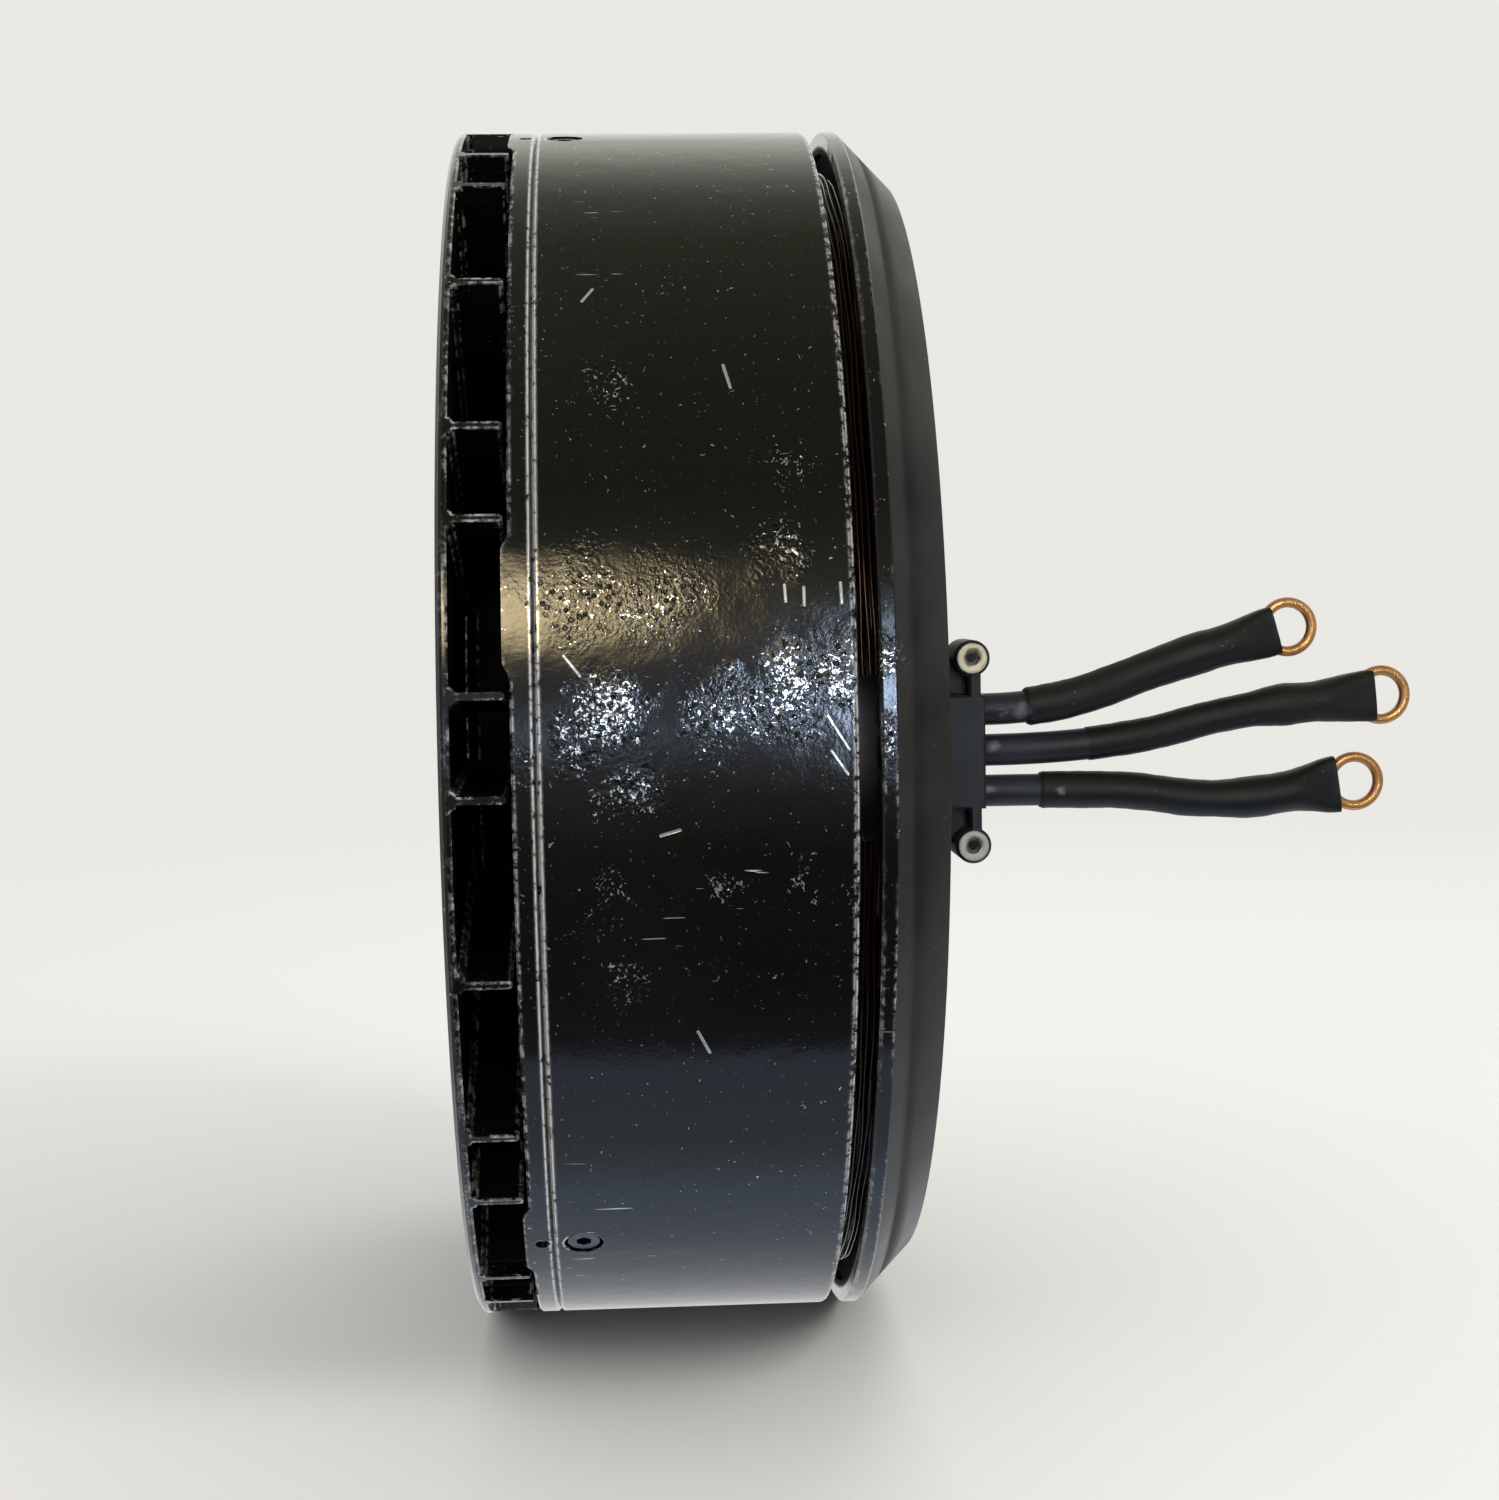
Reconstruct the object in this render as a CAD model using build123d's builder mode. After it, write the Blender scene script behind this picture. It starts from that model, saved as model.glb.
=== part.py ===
"""Brushless outrunner motor: a spinning bell with a finned fan cover around a fixed, wound stator.

Millimetres. The spin axis is X. The origin is on that axis in the rear mounting face, +X points away from
the motor behind that face, -X towards the propeller, and +Z is up. The three phase leads leave on the -Y side.
"""
from build123d import *
import math
import os

os.makedirs("parts", exist_ok=True)

# ---- outside of the motor ----
RIM_R = 92.5             # bell, cap ring, fan disc and base rim
LAND_ANGLE = 167.4       # first raised land, about +X from +Y, as the bell stands at rest
LANDS = 6
FAN_FRONT_X = -64.8
FAN_DISC = 1.55          # thickness of the fan disc
CAP_FRONT_X = -55.75     # plain front of the cap ring
LAND_RISE = 0.85
SEAM_X = -52.5           # where cap ring and flux ring meet
BELL_REAR_X = -12.5
BASE_FRONT_X = -9.7      # front of the fixed base rim
CONE_X = -7.5            # where the base rim turns into the 45 degree cone
EDGE = 0.3               # usual edge break
FIT = 0.02               # close sliding fit between turned pieces of one body

# ---- screws: head radius, head height, shank radius, shank length ----
HOUSING_SCREW = (3.5, 2.2, 2.0, 6.2)
HUB_SCREW = (3.5, 4.0, 2.0, 13.6)
FAN_SCREW = (2.75, 1.2, 1.5, 6.8)
BELL_SCREW = (2.2, 1.9, 1.25, 4.1)
CLAMP_SCREW = (1.95, 2.0, 1.25, 6.3)
BLOCK_SCREW = (1.9, 1.2, 1.0, 5.8)
M2_THREAD_R = 1.02
M25_THREAD_R = 1.27
M25_CLEAR_R = 1.3
M3_THREAD_R = 1.52
M3_CLEAR_R = 1.55
M4_THREAD_R = 2.02
M4_CLEAR_R = 2.05
HOUSING_SINK = (3.8, 2.4)          # counterbore radius and depth, here and below
HUB_SINK = (3.7, 4.4)
FAN_SINK = (2.95, 1.3)
BELL_SINK = (2.7, 2.2)
CLAMP_SINK = (2.03, 1.7)

# ---- base ----
REAR_FACE_R = 85.0
PLATE = 4.0
BASE_BORE_R = 22.0
STEP_R = (52.0, 59.0)    # shallow turned groove in the rear face
STEP_DEPTH = 0.5
RIM_INNER_R = 89.3
MOUNT_CIRCLE_R = 40.0
MOUNT_HOLES = 8
M6_TAP_R = 2.5
INNER_VENT_R = 6.5
VENT_R = (62.0, 74.0)
VENTS = 15
VENT_DEG = 13.5

# ---- stator ----
STACK_X = (-43.5, -15.5)
TEETH = 36
STATOR_R = 85.4
TIP_H = 2.4
SLOT_OPENING = 2.4
TOOTH_W = 6.0
YOKE_R = (57.0, 65.0)
INSULATOR = 0.8
COIL_R = (66.8, 82.0)
COIL_WALL = 2.2
COIL_END = 2.6

# ---- bearing housing, shaft and bearings (15 x 32 x 9) ----
TUBE_R = 20.5
PLATE_REAR_X = -PLATE
PLATE_FRONT_X = -9.0
SEAT_RING_R = 50.5
SHOULDER_R = 59.5
HOUSING_FRONT_X = -47.6
BEARING_BORE_R = 7.5
BEARING_R = 16.0
BEARING_W = 9.0
BEARING_STOP_R = 14.2
REAR_BEARING_X = -7.5    # middle of the rear bearing
FRONT_BEARING_X = -42.5
RACE_R = (9.9, 13.6)     # outside of the inner race, inside of the outer race
BALL_R = 2.38
BALL_PLAY = 0.05
BALL_CIRCLE_R = 11.75
BALLS = 9
CAGE_R = (10.7, 12.8)
CAGE_HALF_W = 2.9
SHIELD_X = (3.7, 4.2)    # each side of the bearing's middle

# ---- cap, hub and fan ----
HUB_R = 36.0
HUB_FACE_X = -67.3
SHOULDER_X = -62.0       # seat of the fan cover on the hub
HUB_SHOULDER_R = 50.0
CAP_REAR_X = -52.0
SPOKE_HALF_W = 8.0
PROP_CIRCLE_R = 28.0
PROP_HOLES = 8
PILOT_TIP_X = -69.3
PILOT_R = 6.0
FAN_VANE = 1.0
VANE_FILLET = 0.7
VANE_ROOT_R = 58.0
VANE_GAP = 0.6           # vane tips stop this short of the cap ring

# ---- cable outlet and leads ----
LEAD_Y = -76.5
LEAD_PITCH = 5.36
LEAD_R = 2.1
SLEEVE_R = 2.5
BLOCK_REAR_X = 5.2
EAR_Z = 12.2
EAR_X = 3.5
EAR_R = 2.35
LUG_R = 3.9
LUG_HOLE_R = 2.55
LUG_T = 1.6
LUG_REACH = 10.2         # from the end of the lead to the middle of the ring
LUG_NECK_W = 4.6
LUG_BARREL = 4.0
SLEEVE_CUT = 7.55        # from the end of the lead to the cut end of its sleeve, just clear of the lug's hole

# Route of each lead as (x, z) in the plane at LEAD_Y, and the x where its outer sleeve begins.
LEAD_ROUTES = {
    1: [(5.2, 5.36), (11.8, 5.36), (21.0, 7.6), (29.7, 11.0), (36.1, 12.75)],
    2: [(5.2, 0.0), (14.6, 0.0), (27.7, 1.55), (39.4, 4.75), (48.3, 5.45)],
    3: [(5.2, -5.36), (14.0, -5.36), (25.2, -5.6), (36.9, -7.6), (44.8, -6.5)],
}
SLEEVES = {1: 10.7, 2: 18.8, 3: 12.6}


# ---------------------------------------------------------------- helpers

def keep(piece, name):
    """Labels a finished piece and writes it."""
    piece.part.label = name
    export_step(piece.part, f"parts/{name}.step")


def across(x):
    """The plane across the spin axis at x: its own x is +Y and its own y is +Z."""
    return Plane.YZ.offset(x)


def turned(points, mode=Mode.ADD):
    """A turned piece from its (x, radius) outline."""
    with BuildSketch(Plane.XY) as outline:
        with BuildLine():
            Polyline(*points, close=True)
        make_face()
    revolve(outline.sketch, axis=Axis.X, mode=mode)


def tube(x_from, x_to, inner_r, outer_r, mode=Mode.ADD):
    """A ring or tube about the spin axis."""
    with BuildSketch(across(x_from)) as ring:
        Circle(outer_r)
        if inner_r:
            Circle(inner_r, mode=Mode.SUBTRACT)
    extrude(ring.sketch, amount=x_to - x_from, mode=mode)


def round_holes(x_from, x_to, hole_r, circle_r, count, start=0.0):
    """Holes along X, evenly spaced on a circle about the spin axis."""
    with BuildSketch(across(x_from)) as holes:
        with PolarLocations(circle_r, count, start_angle=start):
            Circle(hole_r)
    extrude(holes.sketch, amount=x_to - x_from, mode=Mode.SUBTRACT)


def on_circle(x, circle_r, count, start, outward):
    """Planes at evenly spaced places of a circle about the spin axis, facing along outward * X."""
    places = []
    for i in range(count):
        turn = math.radians(start + i * 360.0 / count)
        origin = (x, circle_r * math.cos(turn), circle_r * math.sin(turn))
        places.append(Plane(origin=origin, x_dir=(0, 0, 1), z_dir=(outward, 0, 0)))
    return places


def radial_plane(angle, radius, x=0.0):
    """The plane that faces outwards at an angle: its own x is tangential and its own y is +X."""
    turn = math.radians(angle)
    out = (0, math.cos(turn), math.sin(turn))
    origin = (x, radius * out[1], radius * out[2])
    return Plane(origin=origin, x_dir=(0, -math.sin(turn), math.cos(turn)), z_dir=out)


def socket_screw(seat, head_r, head_h, shank_r, shank_l):
    """A socket head screw: the head stands on the seat plane, the shank goes down from it."""
    with BuildSketch(seat) as head:
        Circle(head_r)
    extrude(head.sketch, amount=head_h)
    with BuildSketch(seat) as shank:
        Circle(shank_r)
    extrude(shank.sketch, amount=-shank_l)
    with BuildSketch(seat.offset(head_h)) as socket:
        RegularPolygon(head_r * 0.52, 6)
    extrude(socket.sketch, amount=-head_h * 0.6, mode=Mode.SUBTRACT)


def tooth_outline(outer_r, inner_r):
    """The star of yoke and teeth, used for the steel stack and its end insulators."""
    neck_r = STATOR_R - TIP_H
    tip_half = math.pi * STATOR_R / TEETH - SLOT_OPENING / 2
    Circle(YOKE_R[1])
    with PolarLocations((YOKE_R[1] + neck_r) / 2, TEETH):
        Rectangle(neck_r - YOKE_R[1] + 2.0, TOOTH_W)
    with PolarLocations(0, TEETH):
        Polygon(
            (neck_r - 1.0, -TOOTH_W / 2),
            (neck_r + 0.9, -tip_half),
            (STATOR_R + 1.0, -tip_half),
            (STATOR_R + 1.0, tip_half),
            (neck_r + 0.9, tip_half),
            (neck_r - 1.0, TOOTH_W / 2),
            align=None,
        )
    Circle(outer_r, mode=Mode.INTERSECT)
    Circle(inner_r, mode=Mode.SUBTRACT)


# ---------------------------------------------------------------- fixed side: base and bearing housing

MOUNT_START = 180.0 / MOUNT_HOLES
OUTLET_SLOT = (5.2, 16.2)          # size of the slot that the leads pass through, along Y and Z
BLOCK_SCREW_Z = 10.6
HOUSING_CIRCLE = (29.0, 6, 30.0)   # radius, count and start angle, here and below
BLOCK_SCREW_Y = LEAD_Y + 2.6

with BuildPart() as stator_base:
    turned([
        (0.0, BASE_BORE_R),
        (0.0, REAR_FACE_R - EDGE),
        (-EDGE, REAR_FACE_R),
        (CONE_X, RIM_R - EDGE),
        (CONE_X - EDGE, RIM_R),
        (BASE_FRONT_X + EDGE, RIM_R),
        (BASE_FRONT_X, RIM_R - EDGE),
        (BASE_FRONT_X, RIM_INNER_R),
        (-8.5, RIM_INNER_R),
        (-PLATE, 84.8),
        (-PLATE, BASE_BORE_R),
    ])
    tube(-STEP_DEPTH, 0.0, *STEP_R, mode=Mode.SUBTRACT)
    round_holes(-PLATE, 0.0, M6_TAP_R, MOUNT_CIRCLE_R, MOUNT_HOLES, MOUNT_START)
    round_holes(-PLATE, 0.0, INNER_VENT_R, MOUNT_CIRCLE_R, MOUNT_HOLES)
    round_holes(-PLATE, 0.0, M4_CLEAR_R, *HOUSING_CIRCLE)
    round_holes(-HOUSING_SINK[1], 0.0, HOUSING_SINK[0], *HOUSING_CIRCLE)
    for vent in range(1, VENTS):       # the place of the first one holds the cable outlet
        low = 180.0 + vent * 360.0 / VENTS - VENT_DEG / 2
        with BuildSketch(across(-PLATE)) as window:
            with BuildLine():
                inner = CenterArc((0, 0), VENT_R[0], low, VENT_DEG)
                outer = CenterArc((0, 0), VENT_R[1], low, VENT_DEG)
                Line(inner @ 0, outer @ 0)
                Line(inner @ 1, outer @ 1)
            make_face()
            fillet(window.vertices(), 2.5)
        extrude(window.sketch, amount=PLATE, mode=Mode.SUBTRACT)
    with BuildSketch(across(-PLATE)) as outlet:
        with Locations((LEAD_Y, 0)):
            RectangleRounded(*OUTLET_SLOT, 2.55)
    extrude(outlet.sketch, amount=PLATE, mode=Mode.SUBTRACT)
    with BuildSketch(across(-PLATE)) as block_holes:
        with Locations((BLOCK_SCREW_Y, BLOCK_SCREW_Z), (BLOCK_SCREW_Y, -BLOCK_SCREW_Z)):
            Circle(M25_CLEAR_R)
    extrude(block_holes.sketch, amount=PLATE, mode=Mode.SUBTRACT)
keep(stator_base, "stator_base")

with BuildPart() as bearing_housing:
    rear_stop = REAR_BEARING_X - BEARING_W / 2
    front_stop = FRONT_BEARING_X + BEARING_W / 2
    turned([
        (-1.0, BEARING_R),
        (-1.0, BASE_BORE_R - FIT),
        (PLATE_REAR_X, BASE_BORE_R - FIT),
        (PLATE_REAR_X, SHOULDER_R),
        (STACK_X[1], SHOULDER_R),
        (STACK_X[1], YOKE_R[0] - FIT),
        (STACK_X[0], YOKE_R[0] - FIT),
        (STACK_X[0], SEAT_RING_R),
        (PLATE_FRONT_X, SEAT_RING_R),
        (PLATE_FRONT_X, TUBE_R),
        (HOUSING_FRONT_X, TUBE_R),
        (HOUSING_FRONT_X, BEARING_R),
        (front_stop, BEARING_R),
        (front_stop, BEARING_STOP_R),
        (rear_stop, BEARING_STOP_R),
        (rear_stop, BEARING_R),
    ])
    round_holes(PLATE_FRONT_X, PLATE_REAR_X, M6_TAP_R, MOUNT_CIRCLE_R, MOUNT_HOLES, MOUNT_START)
    round_holes(PLATE_FRONT_X, PLATE_REAR_X, INNER_VENT_R, MOUNT_CIRCLE_R, MOUNT_HOLES)
    round_holes(PLATE_FRONT_X, PLATE_REAR_X, M4_THREAD_R, *HOUSING_CIRCLE)
keep(bearing_housing, "bearing_housing")

with BuildPart() as housing_screws:
    for seat in on_circle(-HOUSING_SINK[1], *HOUSING_CIRCLE, 1):
        socket_screw(seat, *HOUSING_SCREW)
keep(housing_screws, "housing_screws")


# ---------------------------------------------------------------- fixed side: stack, insulators, windings

with BuildPart() as stator_core:
    with BuildSketch(across(STACK_X[0])):
        tooth_outline(STATOR_R, YOKE_R[0])
    extrude(amount=STACK_X[1] - STACK_X[0])
keep(stator_core, "stator_core")

with BuildPart() as front_insulator:
    with BuildSketch(across(STACK_X[0] - INSULATOR)):
        tooth_outline(STATOR_R - 0.7, SHOULDER_R + 0.5)
    extrude(amount=INSULATOR)
keep(front_insulator, "front_insulator")

with BuildPart() as rear_insulator:
    with BuildSketch(across(STACK_X[1])):
        tooth_outline(STATOR_R - 0.7, SHOULDER_R + 0.5)
    extrude(amount=INSULATOR)
keep(rear_insulator, "rear_insulator")

COIL_MIDDLE_X = sum(STACK_X) / 2
COIL_HOLE = (TOOTH_W + 0.6, STACK_X[1] - STACK_X[0] + 2 * INSULATOR + 0.3)
COIL_SIZE = (COIL_HOLE[0] + 2 * COIL_WALL, COIL_HOLE[1] + 2 * COIL_END)


def coil(tooth):
    """One tooth's coil: a closed loop of wire around the tooth."""
    with BuildSketch(radial_plane(tooth * 360.0 / TEETH, COIL_R[0], COIL_MIDDLE_X)) as loop:
        RectangleRounded(*COIL_SIZE, 2.4)
        RectangleRounded(*COIL_HOLE, 0.5, mode=Mode.SUBTRACT)
    extrude(loop.sketch, amount=COIL_R[1] - COIL_R[0])


JUMPER_X = (-11.8, -8.6)
JUMPER_W = 2.6
# Inner radius of each phase's jumper ring, and the angle that it leaves open round the cable outlet.
PHASES = {"a": (84.6, 14.0), "b": (81.8, 30.0), "c": (79.0, 50.0)}
for number, (phase, (jumper_r, gap_deg)) in enumerate(PHASES.items()):
    with BuildPart() as coils:
        for tooth in range(number, TEETH, len(PHASES)):
            coil(tooth)
    keep(coils, f"coils_phase_{phase}")
    with BuildPart() as jumper:
        tube(*JUMPER_X, jumper_r, jumper_r + JUMPER_W)
        with BuildSketch(across(JUMPER_X[0])) as gap:
            reach = 2 * RIM_R
            spread = reach * math.tan(math.radians(gap_deg / 2))
            Polygon((0, 0), (-reach, spread), (-reach, -spread), align=None)
        extrude(gap.sketch, amount=JUMPER_X[1] - JUMPER_X[0], mode=Mode.SUBTRACT)
    keep(jumper, f"phase_jumper_{phase}")


# ---------------------------------------------------------------- bearings

def bearing(name, middle_x):
    """The races, shields, balls and cage of one deep groove ball bearing."""
    half = BEARING_W / 2
    groove_r = BALL_R + BALL_PLAY
    turns = [i * 360.0 / BALLS for i in range(BALLS)]
    for side, radii in (("inner", (BEARING_BORE_R, RACE_R[0])), ("outer", (RACE_R[1], BEARING_R))):
        with BuildPart() as race:
            tube(middle_x - half, middle_x + half, *radii)
            with BuildSketch(Plane.XY) as groove:
                with Locations((middle_x, BALL_CIRCLE_R)):
                    Circle(groove_r)
            revolve(groove.sketch, axis=Axis.X, mode=Mode.SUBTRACT)
        keep(race, f"{name}_bearing_{side}_race")
    with BuildPart() as shields:
        for edge in (-SHIELD_X[1], SHIELD_X[0]):
            tube(middle_x + edge, middle_x + edge + SHIELD_X[1] - SHIELD_X[0], RACE_R[0] + 0.25, RACE_R[1])
    keep(shields, f"{name}_bearing_shields")
    with BuildPart() as balls:
        for turn in turns:
            angle = math.radians(turn)
            place = (middle_x, BALL_CIRCLE_R * math.cos(angle), BALL_CIRCLE_R * math.sin(angle))
            with Locations(place):
                Sphere(BALL_R)
    keep(balls, f"{name}_bearing_balls")
    with BuildPart() as cage:
        tube(middle_x - CAGE_HALF_W, middle_x + CAGE_HALF_W, *CAGE_R)
        for turn in turns:
            with BuildSketch(radial_plane(turn, RACE_R[0], middle_x)) as pocket:
                Circle(groove_r)
            extrude(pocket.sketch, amount=RACE_R[1] - RACE_R[0], mode=Mode.SUBTRACT)
    keep(cage, f"{name}_bearing_cage")


bearing("rear", REAR_BEARING_X)
bearing("front", FRONT_BEARING_X)


# ---------------------------------------------------------------- turning side: shaft

SHAFT_REAR_X = -0.6
SHAFT_EDGE = 0.5
SHAFT_SHOULDER_X = FRONT_BEARING_X - BEARING_W / 2
SHAFT_SHOULDER_R = 9.5
FLANGE_X = (CAP_REAR_X, -48.6)
FLANGE_R = 19.5
HUB_CIRCLE = (14.0, 4, 45.0)
CIRCLIP_X = (-2.4, -1.4)
GROOVE_R = 7.0

with BuildPart() as shaft:
    turned([
        (SHAFT_REAR_X, 0.0),
        (SHAFT_REAR_X, BEARING_BORE_R - SHAFT_EDGE),
        (SHAFT_REAR_X - SHAFT_EDGE, BEARING_BORE_R),
        (CIRCLIP_X[1], BEARING_BORE_R),
        (CIRCLIP_X[1], GROOVE_R),
        (CIRCLIP_X[0], GROOVE_R),
        (CIRCLIP_X[0], BEARING_BORE_R),
        (SHAFT_SHOULDER_X, BEARING_BORE_R),
        (SHAFT_SHOULDER_X, SHAFT_SHOULDER_R),
        (FLANGE_X[1], SHAFT_SHOULDER_R),
        (FLANGE_X[1], FLANGE_R),
        (FLANGE_X[0], FLANGE_R),
        (FLANGE_X[0], BEARING_BORE_R),
        (HUB_FACE_X, BEARING_BORE_R),
        (HUB_FACE_X, PILOT_R),
        (PILOT_TIP_X + SHAFT_EDGE, PILOT_R),
        (PILOT_TIP_X, PILOT_R - SHAFT_EDGE),
        (PILOT_TIP_X, 0.0),
    ])
    round_holes(*FLANGE_X, M4_THREAD_R, *HUB_CIRCLE)
keep(shaft, "shaft")

with BuildPart() as shaft_shim:
    tube(REAR_BEARING_X + BEARING_W / 2, CIRCLIP_X[0], BEARING_BORE_R + FIT, 9.6)
keep(shaft_shim, "shaft_shim")

with BuildPart() as shaft_circlip:
    tube(CIRCLIP_X[0], CIRCLIP_X[1], GROOVE_R, 9.3)
    with BuildSketch(across(CIRCLIP_X[0])) as opening:
        with Locations((8.0, 0)):
            Rectangle(4.0, 3.4)
    extrude(opening.sketch, amount=CIRCLIP_X[1] - CIRCLIP_X[0], mode=Mode.SUBTRACT)
keep(shaft_circlip, "shaft_circlip")


# ---------------------------------------------------------------- turning side: cap, flux ring, magnets

SPIGOT_R = (86.0, 89.28)
SPIGOT_FRONT_X = -45.5
RING_INNER_R = 82.0
LAND_FLAT_HALF = 6.8
LAND_RAMP_HALF = 9.4
RECESS_R = (21.0, 31.5)
RECESS_X = -60.0
HUB_BORE_R = BEARING_BORE_R + FIT
FAN_CIRCLE = (43.0, LANDS, LAND_ANGLE)
BELL_SCREW_X = SEAM_X + 4.0
BELL_SCREW_LANDS = (1, 3, 5)       # every other land, and not the first one
DIMPLE_R = 1.05


def land_angle(number):
    return LAND_ANGLE + number * 360.0 / LANDS


with BuildPart() as rotor_cap:
    turned([
        (SPIGOT_FRONT_X, SPIGOT_R[0]),
        (SPIGOT_FRONT_X, SPIGOT_R[1]),
        (SEAM_X, SPIGOT_R[1]),
        (SEAM_X, RIM_R - 2 * EDGE),
        (SEAM_X - 2 * EDGE, RIM_R),
        (CAP_FRONT_X + EDGE, RIM_R),
        (CAP_FRONT_X, RIM_R - EDGE),
        (CAP_FRONT_X, RING_INNER_R),
        (CAP_REAR_X, RING_INNER_R),
        (CAP_REAR_X + 1.5, SPIGOT_R[0]),
    ])
    turned([
        (CAP_REAR_X, HUB_BORE_R),
        (HUB_FACE_X, HUB_BORE_R),
        (HUB_FACE_X, HUB_R - 1.0),
        (HUB_FACE_X + 1.0, HUB_R),
        (SHOULDER_X, HUB_R),
        (SHOULDER_X, HUB_SHOULDER_R),
        (CAP_FRONT_X, HUB_SHOULDER_R),
        (CAP_REAR_X, HUB_SHOULDER_R - 3.0),
        (CAP_REAR_X, RECESS_R[1]),
        (RECESS_X, RECESS_R[1]),
        (RECESS_X, RECESS_R[0]),
        (CAP_REAR_X, RECESS_R[0]),
    ])
    for land in range(LANDS):
        with BuildSketch(radial_plane(land_angle(land), HUB_SHOULDER_R - 4.0)) as spoke:
            with Locations((0, (CAP_FRONT_X + CAP_REAR_X) / 2)):
                Rectangle(2 * SPOKE_HALF_W, CAP_REAR_X - CAP_FRONT_X)
        extrude(spoke.sketch, amount=RING_INNER_R - HUB_SHOULDER_R + 5.0)
        with BuildSketch(radial_plane(land_angle(land), HUB_SHOULDER_R - 4.0)) as rise:
            with BuildLine():
                low, high = CAP_FRONT_X, CAP_FRONT_X - LAND_RISE
                Spline((-LAND_RAMP_HALF, low), (-LAND_FLAT_HALF, high), tangents=[(1, 0), (1, 0)])
                Line((-LAND_FLAT_HALF, high), (LAND_FLAT_HALF, high))
                Spline((LAND_FLAT_HALF, high), (LAND_RAMP_HALF, low), tangents=[(1, 0), (1, 0)])
                Polyline(
                    (LAND_RAMP_HALF, low),
                    (LAND_RAMP_HALF - 2.0, low + 1.0),
                    (-LAND_RAMP_HALF + 2.0, low + 1.0),
                    (-LAND_RAMP_HALF, low),
                )
            make_face()
        extrude(rise.sketch, amount=RIM_R - HUB_SHOULDER_R + 6.0)
        for step in (15.0, 30.0, 45.0):
            with BuildSketch(radial_plane(land_angle(land) + step, HUB_SHOULDER_R - 4.0)) as rib:
                with Locations((0, (CAP_FRONT_X + CAP_REAR_X - 1.0) / 2)):
                    Rectangle(3.5, CAP_REAR_X - CAP_FRONT_X - 1.0)
            extrude(rib.sketch, amount=RING_INNER_R - HUB_SHOULDER_R + 5.0)
    tube(HUB_FACE_X, SPIGOT_FRONT_X, 0, RIM_R, mode=Mode.INTERSECT)
    round_holes(HUB_FACE_X, RECESS_X, M6_TAP_R, PROP_CIRCLE_R, PROP_HOLES)
    round_holes(HUB_FACE_X, CAP_REAR_X, M4_CLEAR_R, *HUB_CIRCLE)
    round_holes(HUB_FACE_X, HUB_FACE_X + HUB_SINK[1], HUB_SINK[0], *HUB_CIRCLE)
    round_holes(SHOULDER_X, SHOULDER_X + 6.0, M3_THREAD_R, *FAN_CIRCLE)
    for land in BELL_SCREW_LANDS:
        with BuildSketch(radial_plane(land_angle(land), SPIGOT_R[0] - 1.0, BELL_SCREW_X)) as thread:
            Circle(M25_THREAD_R)
        extrude(thread.sketch, amount=5.0, mode=Mode.SUBTRACT)
        with BuildSketch(radial_plane(land_angle(land), RIM_R - 0.5, (SEAM_X + CAP_FRONT_X) / 2)) as dimple:
            Circle(DIMPLE_R)
        extrude(dimple.sketch, amount=2.0, mode=Mode.SUBTRACT)
keep(rotor_cap, "rotor_cap")

with BuildPart() as flux_ring:
    turned([
        (SEAM_X, SPIGOT_R[1] + FIT),
        (SEAM_X, RIM_R - EDGE),
        (SEAM_X + EDGE, RIM_R),
        (BELL_REAR_X - 0.6, RIM_R),
        (BELL_REAR_X - 0.18, RIM_R - 0.18),
        (BELL_REAR_X, RIM_R - 0.6),
        (BELL_REAR_X, SPIGOT_R[1] + FIT + EDGE),
        (BELL_REAR_X - EDGE, SPIGOT_R[1] + FIT),
    ])
    for land in BELL_SCREW_LANDS:
        with BuildSketch(radial_plane(land_angle(land), SPIGOT_R[0], BELL_SCREW_X)) as through:
            Circle(M25_CLEAR_R)
        extrude(through.sketch, amount=10.0, mode=Mode.SUBTRACT)
        with BuildSketch(radial_plane(land_angle(land), RIM_R - BELL_SINK[1], BELL_SCREW_X)) as bore:
            Circle(BELL_SINK[0])
        extrude(bore.sketch, amount=5.0, mode=Mode.SUBTRACT)
keep(flux_ring, "flux_ring")

with BuildPart() as bell_screws:
    for land in BELL_SCREW_LANDS:
        socket_screw(radial_plane(land_angle(land), RIM_R - BELL_SINK[1], BELL_SCREW_X), *BELL_SCREW)
keep(bell_screws, "bell_screws")

MAGNETS = 42
MAGNET_X = (-44.5, -14.8)
MAGNET_SIZE = (12.2, MAGNET_X[1] - MAGNET_X[0])
MAGNET_R = (86.2, 89.04)
with BuildPart() as magnets:
    for pole in range(MAGNETS):
        angle = LAND_ANGLE + (pole + 0.5) * 360.0 / MAGNETS
        with BuildSketch(radial_plane(angle, MAGNET_R[0], sum(MAGNET_X) / 2)) as block:
            Rectangle(*MAGNET_SIZE)
        extrude(block.sketch, amount=MAGNET_R[1] - MAGNET_R[0])
keep(magnets, "magnets")

with BuildPart() as hub_screws:
    for seat in on_circle(HUB_FACE_X + HUB_SINK[1], *HUB_CIRCLE, -1):
        socket_screw(seat, *HUB_SCREW)
keep(hub_screws, "hub_screws")


# ---------------------------------------------------------------- turning side: fan cover

VANE_STEPS = (-15.0, -7.0, 7.0, 15.0, 30.0)
DISC_REAR_X = FAN_FRONT_X + FAN_DISC
VANE_TIP_X = CAP_FRONT_X - VANE_GAP
VANE_SUNK = 0.4                    # how far a vane's foot runs into the disc

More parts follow.
